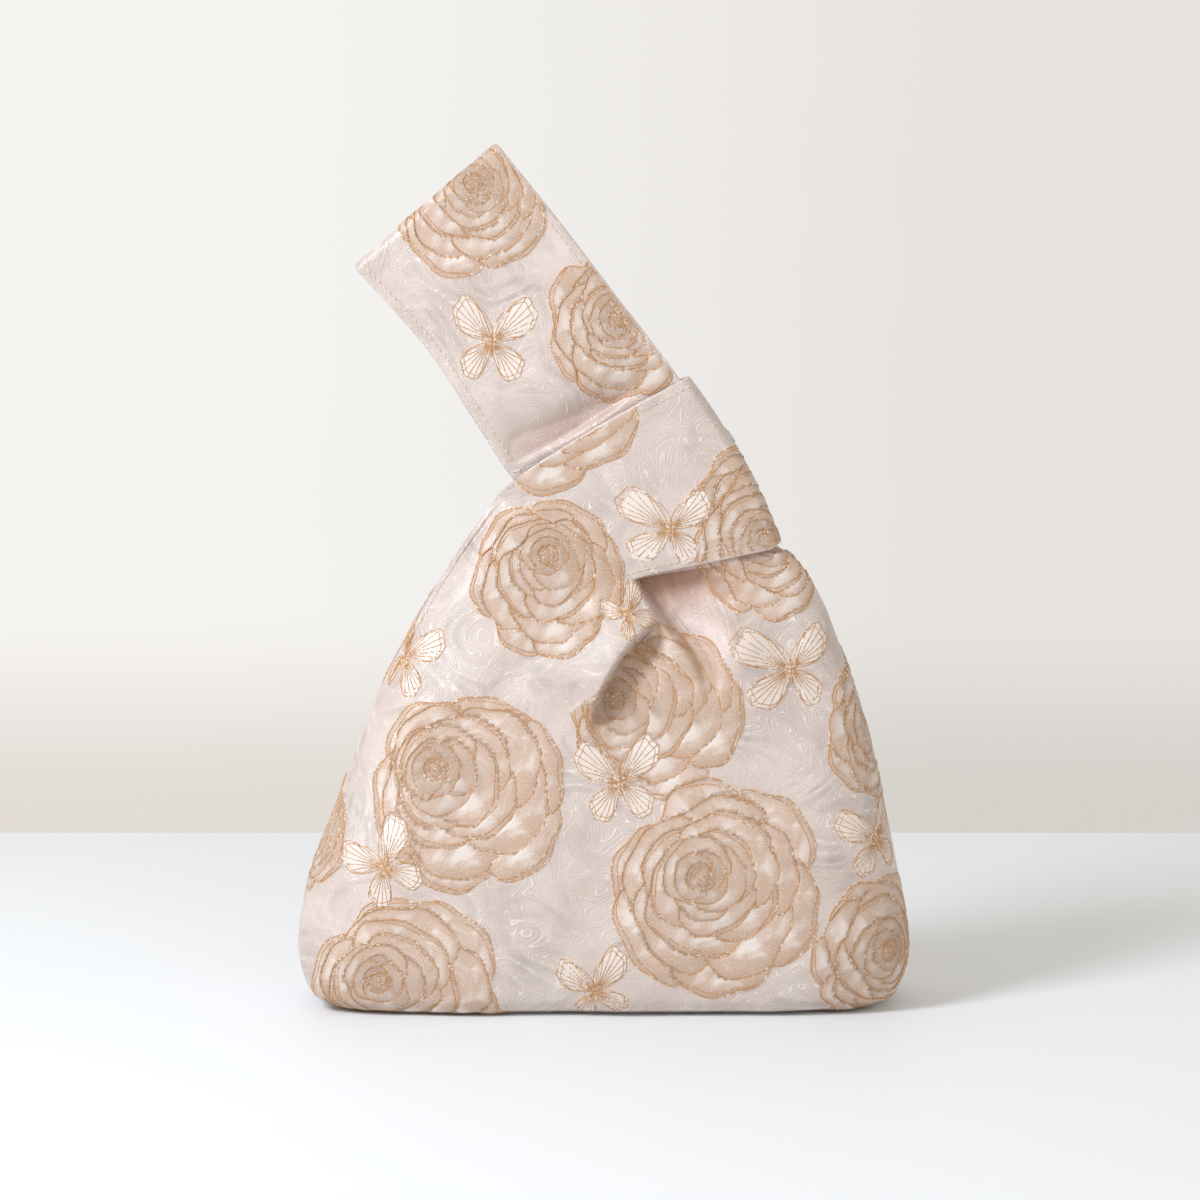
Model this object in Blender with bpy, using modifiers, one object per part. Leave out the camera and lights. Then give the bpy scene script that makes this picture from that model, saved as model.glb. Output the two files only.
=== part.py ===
"""A Japanese knot bag of lined brocade: a soft body on a boxed base, with a short strap and a long strap.

Each outer panel is one piece of cloth with half of the base and half of both straps, and each lining
panel repeats it inside. The long strap passes through the loop of the short one and closes the mouth.
X runs to the right, +Y to the back, +Z up, and the origin is under the middle of the base. Metres.
"""

import math

import bmesh
import bpy
import numpy as np

# Cloth
CLOTH_THICKNESS = 0.0009
LINING_THICKNESS = 0.0006
LAYER_GAP = 0.0003
SEAM_GAP = 0.0003
WALL = CLOTH_THICKNESS + LAYER_GAP + LINING_THICKNESS

# Main sizes: over the side seams at their widest, from front to back, and up to the long strap's fold
BAG_WIDTH = 0.244
BAG_DEPTH = 0.092
BAG_HEIGHT = 0.341


def across(*shares):
    """Places beside the middle, as shares of half the bag's width."""
    return tuple(share * BAG_WIDTH / 2 for share in shares)


def deep(*shares):
    """Distances from the middle plane, as shares of half the bag's depth."""
    return tuple(share * BAG_DEPTH / 2 for share in shares)


def up(*shares):
    """Heights, as shares of the bag's height."""
    return tuple(share * BAG_HEIGHT for share in shares)


def seen_at(x_share, z_share):
    """A place in the front view, as shares of half the width and of the height."""
    return (*across(x_share), *up(z_share))


# Rows up the body, from the base's rim to the neckline. Each row runs from the left side seam over the
# ridge of the front fold to the right side seam. The base's middle seam is a share of the base's width.
ROW_LEFT_X = across(-0.902, -0.961, -1.0, -0.966, -0.873, -0.766, -0.627, -0.492, -0.344)
ROW_LEFT_Z = up(0.0, 0.018, 0.070, 0.144, 0.232, 0.340, 0.437, 0.519, 0.595)
ROW_RIDGE_X = across(0.246, 0.246, 0.254, 0.279, 0.303, 0.324, 0.287, 0.176, 0.086)
ROW_RIDGE_Z = up(0.0, 0.018, 0.065, 0.132, 0.214, 0.311, 0.396, 0.452, 0.4985)
ROW_RIGHT_X = across(0.902, 0.961, 1.0, 0.975, 0.926, 0.857, 0.7705, 0.705, 0.615)
ROW_RIGHT_Z = up(0.0, 0.018, 0.070, 0.144, 0.232, 0.331, 0.425, 0.481, 0.5265)
ROW_HALF_DEPTH = deep(0.891, 0.95, 1.0, 0.946, 0.837, 0.685, 0.5435, 0.404, 0.25)
ROW_SQUARENESS = (5.0, 4.8, 4.2, 3.6, 3.2, 2.9, 2.6, 2.4, 2.2)
TOP_ROW = len(ROW_LEFT_X) - 1
BASE_SEAM_SHARE = 0.591

# The right half of the body tucks in behind the short strap, with a step at the ridge
STEP_WIDTH = 0.0075
STEP_DROP = 0.0012
TUCK_START_AT_STEP = 5.2
TUCK_START_AT_SEAM = 7.2
TUCK_START_BEND = 0.6
SEAM_WEDGE_START = 0.86

# Long strap, seen from the front: rows from the body to the fold at its top, each from the neck edge to
# the arm edge, and half of the space between its front and back at five places across them
LONG_NECK_X = (ROW_RIDGE_X[-1] + STEP_WIDTH, *across(0.057, -0.066, -0.180, -0.295, -0.426, -0.574, -0.787))
LONG_NECK_Z = (ROW_RIDGE_Z[-1] - STEP_DROP, *up(0.5185, 0.551, 0.582, 0.616, 0.683, 0.768, 0.855))
LONG_ARM_X = (ROW_RIGHT_X[-1], *across(0.549, 0.4795, 0.369, 0.2295, 0.041, -0.139, -0.331))
LONG_ARM_Z = (ROW_RIGHT_Z[-1], *up(0.5395, 0.592, 0.663, 0.736, 0.824, 0.908, 0.993))
LONG_GAP_IN_BODY = (0.0012, 0.0024, 0.0070, 0.0044, 0.0024)
LONG_GAP_IN_LOOP = (0.0020, 0.0042, 0.0052, 0.0044, 0.0026)
LONG_GAP_AT_LOOP_END = (0.0006, 0.0020, 0.0034, 0.0034, 0.0030)
LONG_GAP_PAST_LOOP = (0.0026, 0.0046, 0.0054, 0.0046, 0.0030)
LONG_GAP_AT_FOLD = (0.0028, 0.0030, 0.0030, 0.0030, 0.0028)
LONG_GAP_ROWS = (0.0, 2.4, 4.0, 5.2, 7.0)
LONG_FOLD_REACH = 0.0035
LONG_TOP = len(LONG_NECK_X) - 1
LONG_OPEN_AT_ROW = 1.6
LONG_OPENING_BEND = 1.6

# Short strap, seen from the front: its two edges, and the fold at its end. Its loop holds the long strap.
LOOP_CLEARANCE = 0.0006
SHORT_ARM_CONTROL = seen_at(-0.164, 0.648)
SHORT_NECK_CONTROL = seen_at(0.246, 0.513)
SHORT_FOLD_TOP = seen_at(0.2845, 0.732)
SHORT_FOLD_FOOT = seen_at(0.580, 0.541)
SHORT_FOLD_BOW = 0.0027
SHORT_FOLD_REACH = 0.0050
SHORT_HALF_AT_FOLD = max(LONG_GAP_IN_LOOP[-1], LONG_GAP_AT_LOOP_END[-1]) + 2 * WALL + LOOP_CLEARANCE
SHORT_HALF_IN_MIDDLE = max(LONG_GAP_IN_BODY) + 2 * WALL + LOOP_CLEARANCE
SHORT_FLATNESS_AT_ARM = 0.60
SHORT_BULGE_SKEW = 1.2
SHORT_BULGE_FULLNESS = 0.8
SHORT_OPENING_BEND = 8

# The fold that the knot pulls into the cloth under the neckline: a lip that hangs over a trough. Each
# fades in between its first two places along the fold, and out between its last two.
LIP_START = seen_at(0.1475, 0.450)
LIP_END = seen_at(-0.008, 0.378)
LIP_BOW = 0.0018
LIP_HEIGHT = 0.0055
LIP_SPREAD = 0.0120
LIP_DROP_WIDTH = 0.0045
LIP_EXTENT = (-0.30, 0.20, 0.89, 1.44)
TROUGH_DEPTH = 0.0070
TROUGH_WIDTH = 0.0230
TROUGH_EXTENT = (-0.16, 0.24, 1.10, 1.60)
RELIEF_FADE_ROWS = 0.8
RELIEF_FADE_AT_SEAM = 0.25
RELIEF_END_PAST_STEP = 0.33

# Facets: columns crowd towards the left seam and the ridge, and rows towards the neckline and the straps
LEFT_COLUMNS = 12
STEP_COLUMNS = 3
RIGHT_COLUMNS = 8
BASE_ROWS = 2
BODY_ROWS = 17
SHORT_ROWS = 7
LONG_ROWS = 14
FOLD_ROWS = 3
COLUMN_CROWDING = 0.8
BODY_ROW_CROWDING = 1.15
SHORT_ROW_CROWDING = 1.2
LOOP_SAMPLES = 600
MERGE_DISTANCE = 0.00001

BROCADE_COLOUR = (0.78, 0.66, 0.58, 1.0)
LINING_COLOUR = (0.80, 0.64, 0.54, 1.0)


def through(values, place):
    """The smooth curve through values, read at place, counted from the first value."""
    v = np.asarray(values, float)
    k = int(min(max(math.floor(place), 0), len(v) - 2))
    f = place - k
    before = v[k - 1] if k > 0 else 2 * v[0] - v[1]
    after = v[k + 2] if k + 2 < len(v) else 2 * v[-1] - v[-2]
    slope_in = (v[k + 1] - before) / 2
    slope_out = (after - v[k]) / 2
    h00, h10 = 2 * f**3 - 3 * f**2 + 1, f**3 - 2 * f**2 + f
    h01, h11 = -2 * f**3 + 3 * f**2, f**3 - f**2
    return h00 * v[k] + h10 * slope_in + h01 * v[k + 1] + h11 * slope_out


def ease(x):
    """0 below 0, 1 above 1, and a smooth step between."""
    x = min(max(x, 0.0), 1.0)
    return x * x * (3 - 2 * x)


def mix(a, b, share):
    return a + (b - a) * share


def bezier(start, control, end, t):
    """A point on the quadratic curve from start to end."""
    return [(1 - t) ** 2 * a + 2 * t * (1 - t) * c + t * t * b for a, c, b in zip(start, control, end)]


def extent(along, places):
    """A fade in between the first two places and out between the last two."""
    start, full, low, end = places
    return ease((along - start) / (full - start)) * ease((end - along) / (end - low))


def knot_relief(x, z):
    """How far the cloth stands out under the neckline: over the lip's edge it drops into the trough."""
    axis = np.subtract(LIP_END, LIP_START)
    length = np.hypot(*axis)
    along = np.dot(np.subtract((x, z), LIP_START), axis) / length**2
    below = ((z - LIP_START[1]) * axis[0] - (x - LIP_START[0]) * axis[1]) / length
    below += LIP_BOW * 4 * along * (1 - along)
    lip = LIP_HEIGHT * extent(along, LIP_EXTENT)
    if below < 0:
        return lip * math.exp(-((below / LIP_SPREAD) ** 2))
    dropped = ease(below / LIP_DROP_WIDTH)
    trough = TROUGH_DEPTH * (1 - ease(below / TROUGH_WIDTH)) * extent(along, TROUGH_EXTENT)
    return lip * (1 - dropped) - trough * dropped


def half_loop(left, right, half_depth, squareness):
    """The front half of a level section: x, distance in front of the middle plane, and length so far."""
    angle = np.linspace(0, math.pi, LOOP_SAMPLES)
    power = 2 / squareness
    across = -np.sign(np.cos(angle)) * np.abs(np.cos(angle)) ** power
    x = (left + right) / 2 + (right - left) / 2 * across
    front = half_depth * np.sin(angle).clip(0) ** power
    steps = np.hypot(np.diff(x), np.diff(front))
    return x, front, np.concatenate([[0], np.cumsum(steps)])


def on_loop(loop, start_x, end_x, share):
    """The point of a half loop at a share of its length between two places."""
    x, front, length = loop
    start, end = np.interp(start_x, x, length), np.interp(end_x, x, length)
    here = mix(start, end, share)
    return np.interp(here, length, x), np.interp(here, length, front)


def tuck(share):
    """The half depth with which the right half enters the short strap's loop, from the step to the seam."""
    wedge = max(share - SEAM_WEDGE_START, 0) / (1 - SEAM_WEDGE_START)
    return (through(LONG_GAP_IN_BODY, share * (len(LONG_GAP_IN_BODY) - 1)) + WALL) * (1 - wedge)


def body_row(row):
    """The sizes of one row up the body, at a place counted in the rows above."""
    tables = (ROW_LEFT_X, ROW_LEFT_Z, ROW_RIDGE_X, ROW_RIDGE_Z, ROW_RIGHT_X, ROW_RIGHT_Z)
    return [float(through(t, row)) for t in (*tables, ROW_HALF_DEPTH, ROW_SQUARENESS)]


def body_point(part, share, row):
    """A point of the front, where part is left, step or right of the ridge and share runs to the right."""
    left_x, left_z, ridge_x, ridge_z, right_x, right_z, half_depth, squareness = body_row(row)
    step_end = ridge_x + STEP_WIDTH
    loop = half_loop(left_x, right_x, half_depth, squareness)
    span = {"left": (left_x, ridge_x), "step": (ridge_x, step_end), "right": (step_end, right_x)}[part]
    x, front = on_loop(loop, span[0], span[1], share)
    if part == "left":
        z = mix(ridge_z, left_z, (ridge_x - x) / (ridge_x - left_x))
        faded = ease(share / RELIEF_FADE_AT_SEAM) * ease((TOP_ROW - row) / RELIEF_FADE_ROWS)
        front += knot_relief(x, z) * faded
        return x, -front if share > 0 else 0.0, z
    z = mix(ridge_z, right_z, (x - ridge_x) / (right_x - ridge_x))
    beyond = share if part == "right" else 0.0
    start = mix(TUCK_START_AT_STEP, TUCK_START_AT_SEAM, beyond**TUCK_START_BEND)
    tucked = ease((row - start) / (TOP_ROW - start))
    relief = knot_relief(x, z) * ease((TOP_ROW - row) / RELIEF_FADE_ROWS)
    z -= STEP_DROP * tucked * (ease(share) if part == "step" else (1 - share) ** 2)
    if part == "step":
        front = mix(front + relief, mix(front, tuck(0), tucked) + relief * (1 - tucked), ease(share))
        return x, -front, z
    relief *= (1 - tucked) * (1 - ease(share / RELIEF_END_PAST_STEP))
    front = mix(front, tuck(share), tucked) + relief
    return x, -front if share < 1 else 0.0, z


def base_point(part, share, row):
    """A point of the base, from the middle seam at row 0 to the rim at row 1."""
    rim_x, rim_y, _ = body_point(part, share, 0.0)
    rim = (ROW_LEFT_X[0], ROW_RIDGE_X[0], ROW_RIGHT_X[0])
    seam_start, ridge, seam_end = (BASE_SEAM_SHARE * x for x in rim)
    step_end = ridge + STEP_WIDTH
    ends = {"left": (seam_start, ridge), "step": (ridge, step_end), "right": (step_end, seam_end)}
    start, end = ends[part]
    return mix(mix(start, end, share), rim_x, row), rim_y * row, 0.0


def short_fold_line(share):
    """The short strap's end, seen from the front, and the direction that it points in."""
    top, foot = np.array(SHORT_FOLD_TOP), np.array(SHORT_FOLD_FOOT)
    edge = (foot - top) / np.linalg.norm(foot - top)
    out = np.array([-edge[1], edge[0]])
    return mix(top, foot, share) + out * SHORT_FOLD_BOW * 4 * share * (1 - share), out


def short_strap_point(share, row):
    """A point of the short strap's front: share from its arm edge to its neck edge, row 0 to 1 along it,
    and on to 2 round the fold."""
    end, out = short_fold_line(share)
    if row > 1:
        turn = (row - 1) * math.pi / 2
        x, z = end - out * SHORT_FOLD_REACH * (1 - math.sin(turn))
        return x, -SHORT_HALF_AT_FOLD * math.cos(turn) if row < 2 else 0.0, z
    seam_x, seam_y, seam_z = body_point("left", share, TOP_ROW)
    arm_start, neck_start = (ROW_LEFT_X[-1], ROW_LEFT_Z[-1]), (ROW_RIDGE_X[-1], ROW_RIDGE_Z[-1])
    fold_start = [short_fold_line(s)[0] - out * SHORT_FOLD_REACH for s in (0, 1)]
    arm = np.array(bezier(arm_start, SHORT_ARM_CONTROL, fold_start[0], row))
    neck = np.array(bezier(neck_start, SHORT_NECK_CONTROL, fold_start[1], row))
    chord = mix(arm, neck, share)
    at_start = np.array([seam_x, seam_z]) - mix(np.array(arm_start), np.array(neck_start), share)
    at_end = end - out * SHORT_FOLD_REACH - mix(fold_start[0], fold_start[1], share)
    x, z = chord + at_start * (1 - ease(row)) + at_end * row
    bulge = math.sin(math.pi * row**SHORT_BULGE_SKEW) ** SHORT_BULGE_FULLNESS
    bulge *= mix(SHORT_FLATNESS_AT_ARM, 1, share)
    half = mix(SHORT_HALF_AT_FOLD, SHORT_HALF_IN_MIDDLE, bulge)
    opened = 1 - (1 - row) ** SHORT_OPENING_BEND
    return x, mix(seam_y, -half, opened), z


def long_gap(share, row):
    """Half of the space inside the long strap."""
    sections = (
        LONG_GAP_IN_BODY,
        LONG_GAP_IN_LOOP,
        LONG_GAP_AT_LOOP_END,
        LONG_GAP_PAST_LOOP,
        LONG_GAP_AT_FOLD,
    )
    across = [through(section, share * (len(section) - 1)) for section in sections]
    return float(through(across, np.interp(row, LONG_GAP_ROWS, range(len(LONG_GAP_ROWS)))))


def long_strap_point(share, row):
    """A point of the long strap's front: share from its neck edge to its arm edge, row 0 to LONG_TOP
    along it, and one more round the fold."""
    at = min(row, LONG_TOP)
    neck = np.array([through(LONG_NECK_X, at), through(LONG_NECK_Z, at)])
    arm = np.array([through(LONG_ARM_X, at), through(LONG_ARM_Z, at)])
    x, z = mix(neck, arm, share)
    half = long_gap(share, at) + WALL
    if row > LONG_TOP:
        turn = (row - LONG_TOP) * math.pi / 2
        out = np.array([neck[1] - arm[1], arm[0] - neck[0]]) / np.linalg.norm(arm - neck)
        x, z = np.array([x, z]) + out * LONG_FOLD_REACH * math.sin(turn)
        return x, -half * math.cos(turn) if row < LONG_TOP + 1 else 0.0, z
    seam_x, seam_y, seam_z = body_point("right", share, TOP_ROW)
    joined = 1 - ease(row)
    x += (seam_x - mix(LONG_NECK_X[0], LONG_ARM_X[0], share)) * joined
    z += (seam_z - mix(LONG_NECK_Z[0], LONG_ARM_Z[0], share)) * joined
    return x, mix(-half, seam_y, max(1 - row / LONG_OPEN_AT_ROW, 0) ** LONG_OPENING_BEND), z


def add_patch(cloth, shares, rows, place):
    """Adds a grid of faces to the cloth, with its columns and its rows at the given places."""
    columns, steps = len(shares) - 1, len(rows) - 1
    grid = bmesh.ops.create_grid(cloth, x_segments=columns, y_segments=steps, size=1.0)
    for vert in grid["verts"]:
        share = shares[round((vert.co.x + 1) / 2 * columns)]
        row = rows[round((vert.co.y + 1) / 2 * steps)]
        vert.co = place(share, row)


def front_face():
    """The outer face of the front panel, as one open surface from the base's middle seam to both folds."""
    cloth = bmesh.new()
    even = np.linspace(0, 1, LEFT_COLUMNS + 1)
    closer_at_both_ends = mix(even, (1 - np.cos(math.pi * even)) / 2, COLUMN_CROWDING)
    to_wedge = [*np.linspace(0, SEAM_WEDGE_START, RIGHT_COLUMNS), 1.0]
    shares = {
        "left": closer_at_both_ends,
        "step": np.linspace(0, 1, STEP_COLUMNS + 1),
        "right": to_wedge,
    }
    base_rows = np.linspace(0, 1, BASE_ROWS + 1)
    body_rows = TOP_ROW * (1 - (1 - np.linspace(0, 1, BODY_ROWS + 1)) ** BODY_ROW_CROWDING)
    for part, columns in shares.items():
        add_patch(cloth, columns, base_rows, lambda share, row, part=part: base_point(part, share, row))
        add_patch(cloth, columns, body_rows, lambda share, row, part=part: body_point(part, share, row))
    fold = np.linspace(0, 1, FOLD_ROWS + 1)[1:]
    short_rows = np.concatenate([np.linspace(0, 1, SHORT_ROWS + 1) ** SHORT_ROW_CROWDING, 1 + fold])
    long_rows = np.concatenate([np.linspace(0, LONG_TOP, LONG_ROWS + 1), LONG_TOP + fold])
    add_patch(cloth, shares["left"], short_rows, short_strap_point)
    add_patch(cloth, shares["right"], long_rows, long_strap_point)
    bmesh.ops.remove_doubles(cloth, verts=cloth.verts, dist=MERGE_DISTANCE)
    bmesh.ops.triangulate(cloth, faces=cloth.faces, quad_method="SHORT_EDGE")
    mesh = bpy.data.meshes.new("front_face")
    cloth.to_mesh(mesh)
    cloth.free()
    mesh.shade_smooth()
    return mesh


def fabric(name, colour, roughness):
    """A plain cloth material."""
    material = bpy.data.materials.new(name)
    material.use_nodes = True
    shader = material.node_tree.nodes["Principled BSDF"]
    shader.inputs["Base Color"].default_value = colour
    shader.inputs["Roughness"].default_value = roughness
    shader.inputs["Metallic"].default_value = 0.0
    return material


def half_space(name, side, collection):
    """A cutter that holds everything on one side of the middle plane, clear of the seam's gap."""
    size = 1.0
    bpy.ops.mesh.primitive_cube_add(size=size)
    cutter = bpy.context.object
    cutter.name = name
    cutter.location = (0, side * (size + SEAM_GAP) / 2, 0)
    cutter.hide_render = True
    cutter.display_type = "WIRE"
    for holder in list(cutter.users_collection):
        holder.objects.unlink(cutter)
    collection.objects.link(cutter)
    return cutter


def panel(name, face, depth, thickness, material, cutter, collection):
    """One panel: a layer of the bag's whole face, at a depth below it, cut at the seams."""
    cloth = bpy.data.objects.new(name, face)
    collection.objects.link(cloth)
    cloth.data.materials.clear()
    cloth.data.materials.append(material)
    whole = cloth.modifiers.new("both sides", "MIRROR")
    whole.use_axis = (False, True, False)
    whole.merge_threshold = MERGE_DISTANCE
    layer = cloth.modifiers.new("layer of cloth", "SOLIDIFY")
    layer.thickness = thickness
    layer.offset = -1 - 2 * depth / thickness
    layer.use_even_offset = True
    layer.thickness_clamp = 1.0
    half = cloth.modifiers.new("cut at the seams", "BOOLEAN")
    half.operation = "INTERSECT"
    half.solver = "MANIFOLD"
    half.object = cutter
    return cloth


def main():
    for leftover in list(bpy.data.objects):
        bpy.data.objects.remove(leftover)
    bag = bpy.data.collections.new("knot bag")
    cutters = bpy.data.collections.new("cutters")
    for collection in (bag, cutters):
        bpy.context.scene.collection.children.link(collection)
    cutters.hide_render = True
    brocade = fabric("brocade", BROCADE_COLOUR, 0.45)
    satin = fabric("lining satin", LINING_COLOUR, 0.40)
    lining_depth = CLOTH_THICKNESS + LAYER_GAP
    for label, side in (("front", -1), ("back", 1)):
        cutter = half_space(f"{label}_half", side, cutters)
        panel(f"{label}_panel", front_face(), 0.0, CLOTH_THICKNESS, brocade, cutter, bag)
        panel(f"{label}_lining", front_face(), lining_depth, LINING_THICKNESS, satin, cutter, bag)


main()
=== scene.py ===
"""A knot bag in rose and butterfly brocade, standing on a pale table.

The cloth of each panel is one fine grid, laid over the bag's form, with the woven design worked out in the
flat of the cloth. X runs to the right, +Y to the back, +Z up. Metres.
"""

import math

import bpy
import numpy as np
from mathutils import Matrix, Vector
from mathutils.bvhtree import BVHTree


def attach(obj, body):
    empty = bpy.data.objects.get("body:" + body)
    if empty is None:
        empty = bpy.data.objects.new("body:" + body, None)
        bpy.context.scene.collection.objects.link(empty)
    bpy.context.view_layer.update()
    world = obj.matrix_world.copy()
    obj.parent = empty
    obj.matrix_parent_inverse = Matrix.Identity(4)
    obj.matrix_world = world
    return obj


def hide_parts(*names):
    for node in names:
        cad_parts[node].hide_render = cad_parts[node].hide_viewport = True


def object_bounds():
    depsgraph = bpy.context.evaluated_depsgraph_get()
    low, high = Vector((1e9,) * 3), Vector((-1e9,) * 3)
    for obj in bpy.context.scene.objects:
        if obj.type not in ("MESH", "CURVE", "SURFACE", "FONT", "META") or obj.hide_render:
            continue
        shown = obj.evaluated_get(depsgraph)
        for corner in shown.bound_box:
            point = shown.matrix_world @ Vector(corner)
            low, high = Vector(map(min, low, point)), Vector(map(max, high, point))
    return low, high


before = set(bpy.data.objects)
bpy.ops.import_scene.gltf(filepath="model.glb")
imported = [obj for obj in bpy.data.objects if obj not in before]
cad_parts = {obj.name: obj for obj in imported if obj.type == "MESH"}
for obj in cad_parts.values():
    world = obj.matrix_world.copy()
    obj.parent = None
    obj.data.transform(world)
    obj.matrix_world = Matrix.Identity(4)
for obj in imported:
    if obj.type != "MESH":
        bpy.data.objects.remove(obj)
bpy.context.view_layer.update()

# Cloth
CLOTH_THICKNESS = 0.0009
LINING_THICKNESS = 0.0006
LAYER_GAP = 0.0003
SEAM_GAP = 0.0003
WALL = CLOTH_THICKNESS + LAYER_GAP + LINING_THICKNESS

# Main sizes, from the imported model: over the side seams, from front to back, and up to the long strap's
# fold
LOW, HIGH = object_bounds()
BAG_WIDTH, BAG_DEPTH, BAG_HEIGHT = (HIGH[k] - LOW[k] for k in range(3))


def across(*shares):
    """Places beside the middle, as shares of half the bag's width."""
    return tuple(share * BAG_WIDTH / 2 for share in shares)


def deep(*shares):
    """Distances from the middle plane, as shares of half the bag's depth."""
    return tuple(share * BAG_DEPTH / 2 for share in shares)


def up(*shares):
    """Heights, as shares of the bag's height."""
    return tuple(share * BAG_HEIGHT for share in shares)


def seen_at(x_share, z_share):
    """A place in the front view, as shares of half the width and of the height."""
    return (*across(x_share), *up(z_share))


# Rows up the body, from the base's rim to the neckline. Each row runs from the left side seam over the
# ridge of the front fold to the right side seam. The base's middle seam is a share of the base's width.
ROW_LEFT_X = across(-0.902, -0.961, -1.0, -0.966, -0.873, -0.766, -0.627, -0.492, -0.344)
ROW_LEFT_Z = up(0.0, 0.018, 0.070, 0.144, 0.232, 0.340, 0.437, 0.519, 0.595)
ROW_RIDGE_X = across(0.246, 0.246, 0.254, 0.279, 0.303, 0.324, 0.287, 0.176, 0.086)
ROW_RIDGE_Z = up(0.0, 0.018, 0.065, 0.132, 0.214, 0.311, 0.396, 0.452, 0.4985)
ROW_RIGHT_X = across(0.902, 0.961, 1.0, 0.975, 0.926, 0.857, 0.7705, 0.705, 0.615)
ROW_RIGHT_Z = up(0.0, 0.018, 0.070, 0.144, 0.232, 0.331, 0.425, 0.481, 0.5265)
ROW_HALF_DEPTH = deep(0.891, 0.95, 1.0, 0.946, 0.837, 0.685, 0.5435, 0.404, 0.25)
ROW_SQUARENESS = (5.0, 4.8, 4.2, 3.6, 3.2, 2.9, 2.6, 2.4, 2.2)
TOP_ROW = len(ROW_LEFT_X) - 1
BASE_SEAM_SHARE = 0.591

# The right half of the body tucks in behind the short strap, with a step at the ridge
STEP_WIDTH = 0.0075
STEP_DROP = 0.0012
STEP_SHARPNESS = 1.7
TUCK_START_AT_STEP = 5.2
TUCK_START_AT_SEAM = 7.2
TUCK_START_BEND = 0.6
SEAM_WEDGE_START = 0.86

# Long strap, seen from the front: rows from the body to the fold at its top, each from the neck edge to
# the arm edge, and half of the space between its front and back at five places across them
LONG_NECK_X = (ROW_RIDGE_X[-1] + STEP_WIDTH, *across(0.057, -0.066, -0.180, -0.285, -0.408, -0.566, -0.787))
LONG_NECK_Z = (ROW_RIDGE_Z[-1] - STEP_DROP, *up(0.5185, 0.551, 0.582, 0.616, 0.683, 0.768, 0.855))
LONG_ARM_X = (ROW_RIGHT_X[-1], *across(0.549, 0.4795, 0.369, 0.2295, 0.041, -0.139, -0.331))
LONG_ARM_Z = (ROW_RIGHT_Z[-1], *up(0.5395, 0.592, 0.663, 0.736, 0.824, 0.908, 0.993))
LONG_GAP_IN_BODY = (0.0012, 0.0024, 0.0070, 0.0044, 0.0024)
LONG_GAP_IN_LOOP = (0.0020, 0.0042, 0.0052, 0.0044, 0.0026)
LONG_GAP_AT_LOOP_END = (0.0006, 0.0020, 0.0034, 0.0034, 0.0030)
LONG_GAP_PAST_LOOP = (0.0026, 0.0046, 0.0054, 0.0046, 0.0030)
LONG_GAP_AT_FOLD = (0.0028, 0.0030, 0.0030, 0.0030, 0.0028)
LONG_GAP_ROWS = (0.0, 2.4, 4.0, 5.2, 7.0)
LONG_FOLD_REACH = 0.0035
LONG_TOP = len(LONG_NECK_X) - 1
LONG_OPEN_AT_ROW = 1.6
LONG_OPENING_BEND = 1.6

# Short strap, seen from the front: its two edges, and the fold at its end. Its loop holds the long strap.
LOOP_CLEARANCE = 0.0006
SHORT_ARM_CONTROL = seen_at(-0.164, 0.648)
SHORT_NECK_CONTROL = seen_at(0.246, 0.513)
SHORT_FOLD_TOP = seen_at(0.2845, 0.732)
SHORT_FOLD_FOOT = seen_at(0.580, 0.541)
SHORT_FOLD_BOW = 0.0027
SHORT_FOLD_REACH = 0.0050
SHORT_HALF_AT_FOLD = max(LONG_GAP_IN_LOOP[-1], LONG_GAP_AT_LOOP_END[-1]) + 2 * WALL + LOOP_CLEARANCE
SHORT_HALF_IN_MIDDLE = max(LONG_GAP_IN_BODY) + 2 * WALL + LOOP_CLEARANCE
SHORT_FLATNESS_AT_ARM = 0.60
SHORT_BULGE_SKEW = 1.2
SHORT_BULGE_FULLNESS = 0.8
SHORT_OPENING_BEND = 8

# The fold that the knot pulls into the cloth under the neckline: a lip that hangs over a trough. Each
# fades in between its first two places along the fold, and out between its last two.
LIP_START = seen_at(0.1475, 0.450)
LIP_END = seen_at(-0.008, 0.378)
LIP_BOW = 0.0018
LIP_HEIGHT = 0.0065
LIP_SPREAD = 0.0120
LIP_DROP_WIDTH = 0.0034
LIP_EXTENT = (-0.30, 0.20, 0.89, 1.44)
TROUGH_DEPTH = 0.0085
TROUGH_WIDTH = 0.0230
TROUGH_EXTENT = (-0.16, 0.24, 1.10, 1.60)
RELIEF_FADE_ROWS = 0.8
RELIEF_FADE_AT_SEAM = 0.25
RELIEF_END_PAST_STEP = 0.33

# The painted shade in the recess to the right of the ridge, under the short strap's lower edge
RECESS_CORNER = (ROW_RIDGE_X[-1], ROW_RIDGE_Z[-1])
RECESS_RIDGE_END = (0.0340, 0.1370)
RECESS_EXTENT = (-0.10, 0.05, 0.30, 0.95)
RECESS_REACH = 0.0170

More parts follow.
